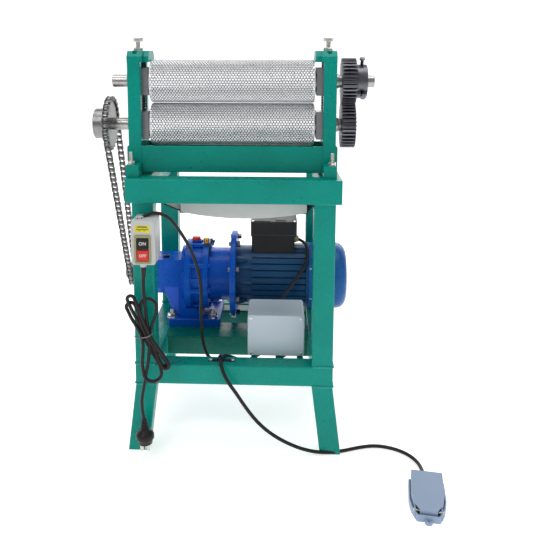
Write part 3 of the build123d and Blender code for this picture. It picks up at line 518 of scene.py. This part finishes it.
# Each fold of the hank: tip x and z, half width, and how far it stands out towards the front.
FOLDS = [
    ((-122.0, 188.0), 6.5, 4.0),
    ((-190.0, 328.0), 6.5, 4.0),
    ((-127.0, 190.0), 6.5, -2.5),
    ((-193.0, 312.0), 8.5, -3.0),
    ((-148.0, 161.0), 17.0, 3.5),
    ((-155.0, 321.0), 15.0, -1.0),
]
# Where each strand passes through the tie: sideways and forwards from its middle.
PASSES = [(3.5, 3.5), (6.5, -3.5), (-3.5, 3.5), (0.0, -3.5), (-7.5, -2.0), (-6.5, 4.5), (7.5, 3.0)]


def hank_points():
    """Strands that go out and back through one tie, each fold a round-ended teardrop."""
    across = Vector((0.92, 0.0, 0.39))
    points = []
    for k, ((tip_x, tip_z), half, out) in enumerate(FOLDS):
        a = WAIST + across * PASSES[k][0] + Vector((0, PASSES[k][1], 0))
        b = WAIST + across * PASSES[k + 1][0] + Vector((0, PASSES[k + 1][1], 0))
        tip = Vector((tip_x, WAIST.y - out, tip_z))
        along = (tip - WAIST).normalized()
        side = Vector((along.z, 0, -along.x))
        if (b - a).dot(side) < 0:
            side = -side
        bend = tip - along * half
        points.append(a)
        points += [a.lerp(bend, share) - side * half * width for share, width in ((0.38, 0.35), (0.70, 0.85))]
        # five corners of a polygon round the half circle of the fold
        points += [bend + side * half * s + along * half * u
                   for s, u in ((-1, -0.577), (-1, 0.577), (0, 1.155), (1, 0.577), (1, -0.577))]
        points += [b.lerp(bend, share) + side * half * width for share, width in ((0.70, 0.85), (0.38, 0.35))]
    points.append(WAIST + across * PASSES[-1][0] + Vector((0, PASSES[-1][1], 0)))
    return [tuple(p) for p in points]


def add_cords():
    control = cord_curve("control_cable_flex", CONTROL_PATH, CORD_D)
    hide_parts("control_cable")
    motor = cord_curve("motor_cable_flex", MOTOR_PATH, CORD_D)
    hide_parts("motor_cable")
    pedal = cord_curve("pedal_cord_flex", PEDAL_PATH, PEDAL_CORD_D)
    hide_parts("pedal_cord")
    route = MAINS_UP + hank_points() + [(-157, -22, 205)] + MAINS_DOWN
    mains = cord_curve("mains_flex", route, CORD_D)
    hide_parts("mains_cord", "mains_hank")
    plug = add_plug()
    tie = add_tie()


def add_plug():
    """Moulded two-flat-pin-and-earth plug with a ribbed strain relief."""
    x, y = -168.0, -20.0
    body = Shape()
    body.lathe((x, y, 33), (0, 0, 1), [(0, 13.2), (0.8, 14.0), (6.5, 14.4), (8.5, 15.6), (11, 17.4),
                                       (18, 17.3), (22, 15.2), (25, 11.2), (27, 9.0), (29, 8.6)], 40)
    profile = [(0, 8.4)]
    for k in range(5):
        r = 8.2 - 0.62 * k
        profile += [(1.2 + 4.0 * k, r), (3.0 + 4.0 * k, r)]
        profile += [(3.4 + 4.0 * k, r - 1.1), (4.6 + 4.0 * k, r - 1.1)]
    profile += [(22.5, 4.2), (23.5, 3.5)]
    body.lathe((x, y, 60), (-0.055, 0, 1), profile, 28)
    shell = body.piece("plug_body", RUBBER, "stand", "cable_black", sharp=50, replaces=("mains_plug",))
    pins = Shape()
    for dx, turn in ((-6.5, 30), (6.5, -30)):
        c, s = math.cos(math.radians(turn)), math.sin(math.radians(turn))
        corners = [(-3.15, -0.8), (3.15, -0.8), (3.15, 0.8), (-3.15, 0.8)]
        rings = []
        for z, k in ((35, 1.0), (18.5, 1.0), (17, 0.7)):
            rings.append([(x + dx + (u * c - v * s) * k, y - 1 + (u * s + v * c) * k, z) for u, v in corners])
        pins.loft(rings)
    pins.box(x - 0.8, x + 0.8, y + 3.85, y + 10.15, 17, 35)
    metal = pins.piece("plug_pins", BRASS, "stand", "zinc", sharp=35)
    return [shell, metal]


def add_tie():
    """Wire tie twisted round the hank's waist."""
    tie = Shape()
    across = Vector((0.92, 0.0, 0.39))
    ring = []
    for k in range(37):
        a = 2 * math.pi * k / 36
        sag = Vector((0, 8.6 * math.sin(a), 1.2 * math.sin(2 * a)))
        ring.append(WAIST + across * (11.8 * math.cos(a)) + sag)
    tie.tube(ring, [0.9] * len(ring), 8)
    ends = WAIST + across * -11.5 + Vector((0, -3, 0))
    for sign in (-1, 1):
        twist = []
        for k in range(16):
            a = 1.2 * k + math.pi * (sign > 0)
            winding = Vector((0, math.cos(a), math.sin(a))) * 0.9
            twist.append(ends + Vector((-0.75 * k, 0, 0.25 * k)) + winding)
        tie.tube(twist, [0.6] * len(twist), 6)
    return tie.piece("hank_tie", MACHINED, "stand", "zinc", sharp=60)


# ---------------------------------------------------------------- roller head

CELL_ACROSS = 5.4
CELL_COLUMNS = 57
CELL_ROWS = 56
NUB_TOP, NUB_HIGH, NUB_LOW, GROOVE = 41.0, 40.3, 39.6, 39.15
BARREL = (-160.0, 150.0)


def comb_cells(y, z):
    """Staggered hexagonal nubs round a roller, each with three rhombic facets."""
    shape = Shape()
    side = CELL_ACROSS / math.sqrt(3)
    first = (BARREL[0] + BARREL[1] - CELL_ACROSS * (CELL_COLUMNS - 1)) / 2
    corners = []
    for k in range(6):
        a = math.radians(30 + 60 * k)
        corners.append((side * math.cos(a), side * math.sin(a)))

    def on(u, angle, r):
        return (u, y + r * math.sin(angle), z + r * math.cos(angle))

    for row in range(CELL_ROWS):
        middle = 2 * math.pi * row / CELL_ROWS
        stagger = row % 2
        for column in range(CELL_COLUMNS - stagger):
            u = first + CELL_ACROSS * (column + stagger / 2)
            verts = [on(u, middle, NUB_TOP)]
            for scale, radii in ((0.80, (NUB_HIGH, NUB_LOW)), (1.0, (GROOVE, GROOVE))):
                for k, (du, dv) in enumerate(corners):
                    pitch = (1.5 * side * CELL_ROWS / (2 * math.pi * NUB_TOP)) ** -1
                    turn = middle + scale * dv / NUB_TOP * pitch
                    verts.append(on(u + du * scale, turn, radii[k % 2]))
            faces = [(0, 1, 2, 3), (0, 3, 4, 5), (0, 5, 6, 1)]
            faces += [(1 + k, 7 + k, 7 + (k + 1) % 6, 1 + (k + 1) % 6) for k in range(6)]
            # faces 3 to 8, the six walls sloping down into the grooves, take the second material, the painted
            # groove shade
            shape.add(verts, faces, range(3, 9))
    return shape


def add_roller(node, left, right, stub=None):
    """Embossed barrel on a turned shaft; left and right are the shaft's ends."""
    centre = centre_mm(node)
    y, z = centre.y, centre.z
    x0, x1 = BARREL
    cells = comb_cells(y, z)
    rim = 40.2
    length = x1 - x0
    profile = [(0, rim - 1.0), (0.8, rim), (1.4, rim), (1.4, GROOVE),
               (length - 1.4, GROOVE), (length - 1.4, rim), (length - 0.8, rim), (length, rim - 1.0)]
    cells.lathe((x0, y, z), (1, 0, 0), profile, 112)
    # the nub walls get the dark second material, painted shade in the grooves of the one steel roller
    cells.piece(node + "_cells", ROLLER, node, "bright_steel",
                sharp=12, replaces=(node,), second=GROOVE_PAINTED_SHADE)
    shaft = Shape()
    marks = [(left, 11.0), (left + 1, 12.0), (-206.5, 12.0), (-205.5, 13.8), (-199.7, 14.0), (-199.7, 16.0),
             (-163.0, 16.0), (-162.4, 20.0), (-160.2, 20.0), (-160.0, 12.0), (150.0, 12.0), (150.2, 20.0),
             (152.4, 20.0), (153.0, 16.0), (189.7, 16.0), (189.7, 14.0), (195.5, 13.8), (196.5, 12.0)]
    if stub:
        marks += [(247.0, 12.0), (247.2, 10.0), (250.0, 10.0), (250.0, stub)]
        marks += [(right - 1, stub), (right, stub - 1)]
    else:
        marks += [(right - 1, 12.0), (right, 11.0)]
    shaft.lathe((left, y, z), (1, 0, 0), [(x - left, r) for x, r in marks], 40)
    for end, way in ((left, 1), (right, -1)):
        shaft.lathe((end + way * 0.05, y, z), (-way, 0, 0), [(0, 3.0), (0.04, 3.0)], 20)
    shaft.piece(node + "_shaft", SHAFT, node, "bright_steel", sharp=40)


def add_adjusters():
    """Hex-headed screws with real threads, and the thin nuts that lock them."""
    for side in ("left", "right"):
        node = "adjuster_" + side
        low, high = span_mm(node)
        x, y = (low.x + high.x) / 2, (low.y + high.y) / 2
        screw = Shape()
        screw.thread((x, y, low.z), (0, 0, 1), 48.2, 4.95, 1.5)
        screw.hexagon((x, y, 791.0), (0, 0, 1), 16.8, high.z - 791.0)
        screw.piece(node + "_screw", ZINC, node, "zinc", sharp=25, replaces=(node,))
    nuts = Shape()
    for side in (-1, 1):
        x = HEAD_X + side * 180.5
        nuts.lathe((x, AXIS_Y, 774.0), (0, 0, 1), [(0, 9.3), (0.3, 9.6), (1.2, 9.6), (1.4, 9.3)], 28)
        nuts.hexagon((x, AXIS_Y, 775.3), (0, 0, 1), 16.8, 4.6, 12 * side)
    nuts.piece("thin_locknuts", ZINC, "stand", "zinc", sharp=25, replaces=("locknuts",))
    studs = Shape()
    for x in (-191.5, 181.5):
        for y in (28.0, 154.0):
            studs.thread((x, y, 571.0), (0, 0, 1), 17.8, 3.95, 1.25)
            studs.lathe((x, y, 565.0), (0, 0, 1), [(0, 6.9), (0.2, 7.1), (1.1, 7.1), (1.2, 6.9)], 24)
            studs.hexagon((x, y, 566.1), (0, 0, 1), 12.8, 5.8, 7.0 * x / 100)
    studs.piece("hold_down_studs", ZINC, "stand", "zinc", sharp=25, replaces=("holddown_bolts",))


def add_springs():
    """Coil springs that hold the upper chocks up, squeezed between the two chocks."""
    z0, z1 = 660.5, 691.0
    for name, x, material in (("left", HEAD_X - 176.5, GEAR), ("right", HEAD_X + 176.5, ZINC)):
        coil = Shape()
        turns, wire, steps = 6.0, 1.25, 150
        points = []
        for k in range(steps + 1):
            t = k / steps
            a = 2 * math.pi * turns * t
            rise = min(1.0, max(0.0, (t * turns - 0.8) / (turns - 1.6)))
            low, high = z0 + wire + 1.6 * min(1.0, t * turns / 0.8), z1 - wire
            height = low + (high - 1.6 * min(1.0, (1 - t) * turns / 0.8) - low) * rise
            points.append((x + 7.4 * math.cos(a), AXIS_Y + 7.4 * math.sin(a), height))
        coil.tube(points, [wire] * len(points), 8)
        obj = coil.piece("gap_spring_" + name, material, None, "zinc", sharp=60)
        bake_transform(obj)
        if name == "left":
            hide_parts("gap_springs")


# ---------------------------------------------------------------- chain

PITCH = 12.7
LINKS = 80
BIG_TEETH, SMALL_TEETH = 24, 12


def chain_pins():
    """Pin centres (y, z) round both sprockets, half a pitch past the first tangent point."""
    big, small = centre_mm("roller_sprocket"), centre_mm("drive_sprocket")
    path1, path2 = BIG_TEETH * PITCH / (2 * math.pi), SMALL_TEETH * PITCH / (2 * math.pi)
    r1 = PITCH / (2 * math.sin(math.pi / BIG_TEETH))
    r2 = PITCH / (2 * math.sin(math.pi / SMALL_TEETH))
    apart = Vector((small.y - big.y, small.z - big.z))
    lean = math.asin((path1 - path2) / apart.length)
    start = math.atan2(apart.y, apart.x) + math.pi / 2 - lean
    arc1, arc2 = path1 * (math.pi + 2 * lean), path2 * (math.pi - 2 * lean)
    straight = math.sqrt(apart.length ** 2 - (path1 - path2) ** 2)
    turn1, turn2 = start + arc1 / path1, start + arc1 / path1 + arc2 / path2

    def round_big(a):
        return Vector((big.y + r1 * math.cos(a), big.z + r1 * math.sin(a)))

    def round_small(a):
        return Vector((small.y + r2 * math.cos(a), small.z + r2 * math.sin(a)))

    pins = []
    for k in range(LINKS):
        s = (k + 0.5) * PITCH
        if s < arc1:
            pins.append(round_big(start + s / path1))
        elif s < arc1 + straight:
            pins.append(round_big(turn1).lerp(round_small(turn1), (s - arc1) / straight))
        elif s < arc1 + straight + arc2:
            pins.append(round_small(turn1 + (s - arc1 - straight) / path2))
        else:
            pins.append(round_small(turn2).lerp(round_big(turn2), (s - arc1 - straight - arc2) / straight))
    return pins


def add_chain():
    low, high = span_mm("drive_chain")
    middle = (low.x + high.x) / 2
    pins = chain_pins()
    plates, rollers = Shape(), Shape()
    for k, p in enumerate(pins):
        q = pins[(k + 1) % LINKS]
        along = (q - p).normalized()
        across = Vector((-along.y, along.x))
        outline = []
        for centre, way in ((p, -1), (q, 1)):
            for step in range(-4, 5):
                a = math.radians(step * 27.0)
                outline.append(centre + way * 4.8 * (along * math.cos(a) + across * math.sin(a)))
        waist = [(p + q) / 2 + across * s * 3.1 for s in (-1, 1)]
        outline = outline[:9] + [waist[0]] + outline[9:] + [waist[1]]
        gap = 4.5 if k % 2 else 3.3
        for side in (-1, 1):
            a, b = sorted((middle + side * gap, middle + side * (gap + 1.05)))
            plates.prism([tuple(v) for v in outline], a, b, "x")
        rollers.lathe((middle - 3.2, *p), (1, 0, 0), [(0, 3.6), (0.3, 3.85), (6.1, 3.85), (6.4, 3.6)], 14)
        rollers.lathe((middle - 6.3, *p), (1, 0, 0), [(0, 1.4), (0.4, 1.9), (12.2, 1.9), (12.6, 1.4)], 10)
    plates.piece("chain_plates", CHAIN, "stand", "dark_steel", sharp=30, replaces=("drive_chain",))
    rollers.piece("chain_rollers", SPROCKET, "stand", "dark_steel", sharp=40)


# ---------------------------------------------------------------- gearmotor

DRIVE = centre_mm("fan_cover")


def round_drive(x, radius, degrees):
    """A point at an angle round the gearmotor's axis, from straight up towards the front."""
    a = math.radians(degrees)
    return (x, DRIVE.y - radius * math.sin(a), DRIVE.z + radius * math.cos(a))


FILLER_X = -97.0
FLANGE_SCREW_R = 84.0


def add_gearbox_details():
    bolts = Shape()
    for x in (-146.0, -58.0):
        for y in (DRIVE.y - 50, DRIVE.y + 50):
            bolts.lathe((x, y, 195.0), (0, 0, 1), [(0, 11.5), (0.4, 12.0), (1.6, 12.0), (2.0, 11.5)], 28)
            bolts.hexagon((x, y, 197.0), (0, 0, 1), 17.6, 8.6, 11.0)
            bolts.thread((x, y, 205.0), (0, 0, 1), 8.0, 4.9, 1.75)
    bolts.piece("gearbox_foot_nuts", ZINC, "stand", "zinc", sharp=25)
    castings = Shape()
    for degrees in range(15, 360, 45):
        castings.hexagon(round_drive(-66.5, 69.0, degrees), (1, 0, 0), 10.0, 5.5, degrees)
        castings.lathe(round_drive(-105.2, 71.5, degrees), (1, 0, 0), [(0, 5.4), (28.4, 5.4)], 16)
    for degrees in (30, 75, 150, 210, 285, 330):
        castings.hexagon(round_drive(-117.0, 70.0, degrees), (-1, 0, 0), 10.0, 4.5, degrees)
    for x0, x1, r in ((-105.4, -101.6, 74.2), (-80.4, -76.6, 74.2),
                      (-20.6, -17.6, 61.0), (-70.0, -66.0, 62.0)):
        band = x1 - x0
        castings.lathe((x0, DRIVE.y, DRIVE.z), (1, 0, 0),
                       [(0, r - 3), (0.6, r), (band - 0.6, r), (band, r - 3)], 72)
    castings.piece("gearbox_screws_and_steps", BLUE, "stand", "gearbox_blue", sharp=35)
    pedestal = Shape()
    front = DRIVE.y - 44.0
    web = [(-166.0, 261.5), (-132.0, 261.5), (-132.0, 197.0), (-143.0, 197.0)]
    pedestal.prism(web, front - 1.2, front + 1.0, "y")
    sill = [(-152.0, 196.2), (-42.0, 196.2), (-42.0, 193.0), (-152.0, 193.0)]
    pedestal.prism(sill, front - 21.6, front - 18.0, "y")
    pedestal.piece("pedestal_web", BLUE_LIGHT, "stand", "gearbox_blue", sharp=30, bevel=0.8)
    flange = Shape()
    for degrees in (22, 67, 112, 158, 202, 247, 292, 338):
        flange.hexagon(round_drive(-6.0, FLANGE_SCREW_R, degrees), (1, 0, 0), 11.0, 8.0, degrees)
        flange.lathe(round_drive(-18.0, FLANGE_SCREW_R, degrees), (-1, 0, 0),
                     [(0, 5.0), (4.0, 5.0), (4.6, 4.2)], 16)
    flange.piece("flange_screws", GEAR, "stand", "dark_steel", sharp=30)
    breather = Shape()
    breather.lathe((-163.0, DRIVE.y - 12, 318.8), (0, 0, 1),
                   [(0, 9.0), (1.5, 9.0), (1.6, 7.0), (5.0, 7.0), (5.6, 6.0)], 28)
    breather.piece("block_cap", GEAR, "stand", "dark_steel", sharp=35)
    plug = Shape()
    plug.hexagon((FILLER_X, DRIVE.y, 355.8), (0, 0, 1), 17.0, 3.0, 5.0)
    plug.lathe((FILLER_X, DRIVE.y, 358.6), (0, 0, 1), [(0, 9.4), (2.6, 9.2), (4.4, 8.2), (5.2, 5.8)], 32)
    plug.piece("filler_plug", RED, "stand", "red_plastic", sharp=35)
    lug = Shape()
    lug.box(-77.0, -62.0, 226.0, 231.0, 332.0, 357.0)
    lug.hexagon((-63.0, 230.0, 361.0), (1, 0, 0), 12.0, 5.0)
    lug.thread((-58.5, 230.0, 361.0), (1, 0, 0), 5.0, 3.4, 1.25)
    lug.piece("tag_lug", NAVY, "stand", "gearbox_blue", sharp=30, bevel=0.8)
    tag = Shape()
    tag.prism(rounded_outline(-78.5, -65.5, 356.2, 368.6, 1.2), 228.4, 229.6, "y")
    tag.piece("fill_tag", YELLOW, "stand", "zinc", sharp=35)
    bars = Shape()
    bars.box(-77.6, -75.0, 228.1, 228.6, 357.8, 367.2)
    bars.box(-68.6, -66.4, 228.1, 228.6, 357.8, 367.2)
    bars.box(-73.0, -70.4, 228.1, 228.6, 359.6, 365.2)
    bars.piece("tag_bars", RED, "stand", "red_plastic", sharp=35)


def add_motor_details():
    motor = Shape()
    for degrees in (45, 135, 225, 315):
        motor.tube([round_drive(-5.5, 64.0, degrees), round_drive(12.0, 63.0, degrees)], [8.5, 7.0], 18)
        motor.hexagon(round_drive(12.0, 63.0, degrees), (1, 0, 0), 10.0, 6.0, degrees)
    for degrees in (60, 90, 120, 240, 270, 300):
        motor.tube([round_drive(-5.5, 62.5, degrees), round_drive(28.0, 64.5, degrees)], [3.0, 4.2], 12)
    motor.lathe((144.0, DRIVE.y, DRIVE.z), (1, 0, 0), [(0, 68.0), (0.5, 71.0), (5.5, 71.0), (5.9, 70.0)], 72)
    motor.piece("motor_bell_lugs", NAVY, "stand", "motor_navy", sharp=35)
    screws = Shape()
    for x, angles in ((154.0, (62, 118, 242, 298)), (185.0, (68, 112))):
        for degrees in angles:
            point = Vector(round_drive(x, 71.2, degrees))
            out = (point - Vector((x, DRIVE.y, DRIVE.z))).normalized()
            screws.lathe(point, out, [(0, 2.6), (0.8, 2.6), (1.5, 2.1), (1.8, 1.0)], 18)
    screws.piece("cover_screws", ZINC, "stand", "zinc", sharp=35)
    fan = Shape()
    fan.lathe((170.0, DRIVE.y, DRIVE.z), (1, 0, 0), [(0, 44), (2, 45), (3, 18), (20, 16), (22, 9)], 40)
    for k in range(7):
        near, far = round_drive(0, 15, 360 * k / 7), round_drive(0, 56, 360 * k / 7 + 8)
        rings = [[(x, p[1] + s, p[2]) for x, s in ((172, -1.1), (172, 1.1), (196, 1.1), (196, -1.1))]
                 for p in (near, far)]
        fan.loft(rings)
    fan.piece("cooling_fan", BLACK, "stand", "black_plastic", sharp=35)


def add_terminal_box_details():
    lid = Shape()
    lid.prism(rounded_outline(31, 68, 226, 252, 2.0), 407.6, 408.9, "z")
    lid.prism(rounded_outline(78, 101, 232, 262, 2.0), 407.6, 409.2, "z")
    lid.box(25.5, 124.5, 221.5, 222.4, 377.5, 379.0)
    lid.piece("terminal_lid_pads", LID, "stand", "black_plastic", sharp=35, bevel=0.5)
    notch = Shape()
    notch.prism(rounded_outline(79.0, 101.0, 394.0, 408.6, 1.5), 220.9, 226.0, "y")
    notch.piece("terminal_lid_catch", BLACK, "stand", "black_plastic", sharp=35, bevel=0.5)
    gland = Shape()
    gland.hexagon((118.6, 243, 366), (1, 0, 0), 15.5, 5.5, 15)
    gland.lathe((124.0, 243, 366), (1, 0, 0), [(0, 7.4), (3.5, 7.0), (5.5, 5.2)], 28)
    gland.piece("terminal_gland", BEZEL, "stand", "black_plastic", sharp=30)
    screws = Shape()
    for x in (30.0, 120.0):
        for y in (227.0, 291.0):
            screws.lathe((x, y, 407.8), (0, 0, 1), [(0, 3.4), (0.8, 3.3), (1.5, 2.4)], 20)
    screws.piece("terminal_lid_screws", ZINC, "stand", "zinc", sharp=35)


# ---------------------------------------------------------------- controls

FACE_Y = -45.0


def ring_plate(shape, outer, inner, y0, y1):
    """Flat ring between two outlines with equal numbers of points, facing the front."""
    count = len(outer)
    verts = []
    for y in (y0, y1):
        for outline in (outer, inner):
            verts += [(u, y, v) for u, v in outline]
    faces = []
    for i in range(count):
        j = (i + 1) % count
        faces.append((i, j, count + j, count + i))
        faces.append((2 * count + i, 3 * count + i, 3 * count + j, 2 * count + j))
        faces.append((i, 2 * count + i, 2 * count + j, j))
        faces.append((count + i, count + j, 3 * count + j, 3 * count + i))
    shape.add(verts, faces)


def add_word(text, node, size, material):
    """A plain printed word in the middle of a button's face."""
    low, high = span_mm(node)
    data = bpy.data.curves.new(node + "_word", "FONT")
    data.body = text
    data.size = size * MM
    data.align_x = "CENTER"
    data.align_y = "CENTER"
    data.extrude = 0.12 * MM
    data.offset = 0.12 * MM
    data.materials.append(material)
    word = bpy.data.objects.new(node + "_word", data)
    word.location = at((low.x + high.x) / 2, low.y - 0.05, (low.z + high.z) / 2)
    word.rotation_euler = (math.pi / 2, 0, 0)
    bpy.context.scene.collection.objects.link(word)
    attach(word, node)


def add_switch_details():
    bezel = Shape()
    outer = rounded_outline(-174.2, -144.4, 396.6, 449.4, 3.5)
    inner = rounded_outline(-170.4, -148.1, 401, 444.5, 1.0)
    ring_plate(bezel, outer, inner, FACE_Y - 2.2, FACE_Y + 0.4)
    bezel.piece("switch_bezel", BEZEL, "stand", "grey_plastic", sharp=35, bevel=0.7)
    label = Shape()
    label.prism(rounded_outline(-172.6, -146.4, 454.6, 467.2, 0.8), FACE_Y - 0.35, FACE_Y + 0.1, "y")
    label.piece("switch_label", YELLOW, "stand", "grey_plastic", sharp=35)
    bars = Shape()
    for z, x0, x1, tall in ((463.6, -168.5, -150.5, 2.0), (460.4, -170.5, -148.5, 0.7),
                            (458.9, -170.5, -148.5, 0.7), (457.0, -166.0, -162.5, 0.9),
                            (457.0, -157.0, -153.5, 0.9)):
        bars.box(x0, x1, FACE_Y - 0.5, FACE_Y - 0.2, z, z + tall)
    bars.piece("label_bars", PRINT_BLACK, "stand", "black_plastic", sharp=35)
    seam = Shape()
    case = rounded_outline(-181.0, -136.0, 393.5, 475.5, 5.2)
    seam.loft([[(u, y, v) for u, v in case] for y in (-24.5, -23.3)])
    seam.piece("switch_case_seam", SWITCH, "stand", "grey_plastic", sharp=35)
    add_word("ON", "on_button", 8.4, PRINT_WHITE)
    add_word("OFF", "off_button", 7.6, PRINT_WHITE)
    relief = Shape()
    relief.lathe((-163.0, -22.0, 385.5), (-0.04, 0.02, -1),
                 [(0, 5.6), (3, 5.6), (5, 5.0), (22, 3.9), (23, 3.4)], 28)
    relief.hexagon((-168.0, -22.0, 474.0), (0, 0, 1), 13.0, 3.6, 10)
    relief.piece("switch_cord_reliefs", RUBBER, "stand", "cable_black", sharp=35)


def add_junction_box_details():
    lid = Shape()
    lid.loft([[(u, y, v) for u, v in rounded_outline(24.6, 136.4, 179.7, 263.8, 5.4)] for y in (70.0, 71.2)])
    lid.piece("junction_lid_seam", PALE, "stand", "pale_blue_plastic", sharp=35)
    screws = Shape()
    wells = Shape()
    for x in (31.5, 129.5):
        for z in (186.5, 257.0):
            wells.lathe((x, 53.6, z), (0, -1, 0), [(0, 4.6), (0.9, 4.4), (1.0, 3.6)], 24)
            screws.lathe((x, 53.0, z), (0, -1, 0), [(0, 3.0), (0.7, 2.9), (1.1, 2.2)], 20)
    wells.piece("junction_screw_wells", PALE, "stand", "pale_blue_plastic", sharp=35)
    screws.piece("junction_screws", ZINC, "stand", "zinc", sharp=35)
    glands = Shape()
    for x in (58.0, 108.0):
        glands.hexagon((x, 95.0, 180.2), (0, 0, -1), 17.5, 4.2, x)
        glands.lathe((x, 95.0, 176.2), (0, 0, -1), [(0, 8.9), (5.5, 8.6), (8.0, 5.4)], 28)
    glands.hexagon((80.0, 140.8, 240.0), (0, 1, 0), 17.5, 4.2, 20)
    glands.lathe((80.0, 144.8, 240.0), (0, 1, 0), [(0, 8.9), (3.0, 8.4), (4.1, 5.0)], 28)
    glands.piece("junction_glands", BLACK, "stand", "black_plastic", sharp=30)


def add_saddle():
    """Sprung cable saddle with two round-headed screws."""
    x, z = -26.5, 179.0
    strap = Shape()
    outer, inner = [], []
    for k in range(13):
        a = math.pi * k / 12
        outer.append((x + 5.5 * math.cos(a), z + 4.9 + 5.4 * math.sin(a)))
        inner.append((x + 4.0 * math.cos(a), z + 4.9 + 3.9 * math.sin(a)))
    flange_top, flange_bottom = z + 1.4, z + 0.05
    outline = [(1.8, flange_bottom), (1.8, flange_top), (x + 5.9, flange_top)] + outer
    outline += [(x - 5.9, flange_top), (-49.8, flange_top), (-49.8, flange_bottom), (x - 4.0, flange_bottom)]
    outline += inner[::-1] + [(x + 4.0, flange_bottom)]
    strap.prism(outline, 26.2, 35.8, "y")
    strap.piece("saddle_strap", SADDLE, "stand", "cable_black", sharp=35, replaces=("cable_saddle",))
    screws = Shape()
    for sx in (-45.5, -2.5):
        screws.lathe((sx, 31.0, z + 1.3), (0, 0, 1),
                     [(0, 4.0), (0.5, 4.0), (1.8, 3.3), (2.5, 1.8), (2.6, 0.5)], 24)
    screws.piece("saddle_screws", ZINC, "stand", "zinc", sharp=50)


# ---------------------------------------------------------------- welds

def weld_run(shape, a, b, outward, size=2.3):
    """Rippled bead from a to b, half sunk in the corner it fills."""
    a, b = Vector(a), Vector(b)
    outward = Vector(outward).normalized()
    length = (b - a).length
    steps = max(6, int(length / 1.1))
    points, radii = [], []
    for k in range(steps + 1):
        t = k / steps
        wander = 0.35 * math.sin(k * 0.9) + DICE.uniform(-0.25, 0.25)
        lift = outward * (0.2 + 0.3 * abs(math.sin(k * 1.35)))
        drift = (b - a).normalized().cross(outward) * wander
        points.append(a.lerp(b, t) + lift + drift)
        radii.append(size * (0.78 + 0.22 * abs(math.sin(k * 1.35))) * (0.6 if k in (0, steps) else 1.0))
    shape.tube(points, radii, 8)


DICE = random.Random(11)


def add_welds():
    beads = Shape()
    for side in (-1, 1):
        x0, x1 = sorted((side * 150.5, side * 187.5))
        outer = side * 189.0
        for z in (139.0, 179.0):
            for y, way in ((9.0, -1), (374.0, 1)):
                weld_run(beads, (x0, y, z), (x1, y, z), (0, way, 0.1))
            for y0, y1 in ((11.0, 47.0), (336.0, 372.0)):
                weld_run(beads, (outer, y0, z), (outer, y1, z), (side, 0, 0.1))
        for y0, y1 in ((9.5, 48.5), (334.5, 373.5)):
            weld_run(beads, (side * 149.0, y0, 496.6), (side * 149.0, y1, 496.6), (-side, 0, -1), 2.0)
        weld_run(beads, (side * 150.0, 8.6, 496.8), (side * 188.0, 8.6, 496.8), (0, -1, -1), 2.0)
        for y in (57.2, 124.8):
            inner = HEAD_X + side * 170.5
            way = 1 if y < 91 else -1
            corner = inner - side * 0.2
            weld_run(beads, (corner, y, 548.0), (corner, y, 596.0), (-side, way, 0), 1.8)
    for x in (-149.0, 149.0):
        way = -1 if x > 0 else 1
        for y in (141.0, 221.0):
            weld_run(beads, (x, y, 140.0), (x, y, 178.0), (way, -1 if y < 181 else 1, 0), 1.8)
    # beads take the lighter green, a painted highlight on the same paint as the frame
    beads.piece("weld_beads", WELD_PAINTED_HIGHLIGHT, "stand", "green_paint", sharp=70)


# ---------------------------------------------------------------- build

add_camera()
add_studio()
add_cords()
add_roller("lower_roller", -272.0, 229.0)
add_roller("upper_roller", -235.0, 262.5, stub=11.5)
add_adjusters()
add_springs()
add_chain()
add_gearbox_details()
add_motor_details()
add_terminal_box_details()
add_switch_details()
add_junction_box_details()
add_saddle()
add_welds()

dress(GREEN, *[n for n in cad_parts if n.startswith(("top_rail", "leg_", "foot_", "base_rail",
                                                          "cheek_", "cap_", "head_plate"))])
# the gearbox rails take the darker green, painted shade standing in for the shadow on their faces
dress(GREEN_PAINTED_SHADE, "gearbox_rail_front", "gearbox_rail_rear")
dress(GEAR, "upper_gear", "lower_gear", "timing_collar")
dress(SPROCKET, "roller_sprocket", "drive_sprocket")
dress(MACHINED, "lower_chocks", "upper_chocks")
dress(ZINC, "pedal_pin")
dress(TRAY, "drip_tray")
dress(HANGER, "tray_hangers")
dress(BLUE, "gearbox", "motor_adapter")
dress(NAVY, "motor_body")
dress(COVER, "fan_cover")
dress(BLACK, "terminal_box", "on_button")
dress(PALE, "junction_box")
dress(SWITCH, "switch_box")
dress(RED, "off_button")
dress(PEDAL, "pedal_base", "pedal_treadle")
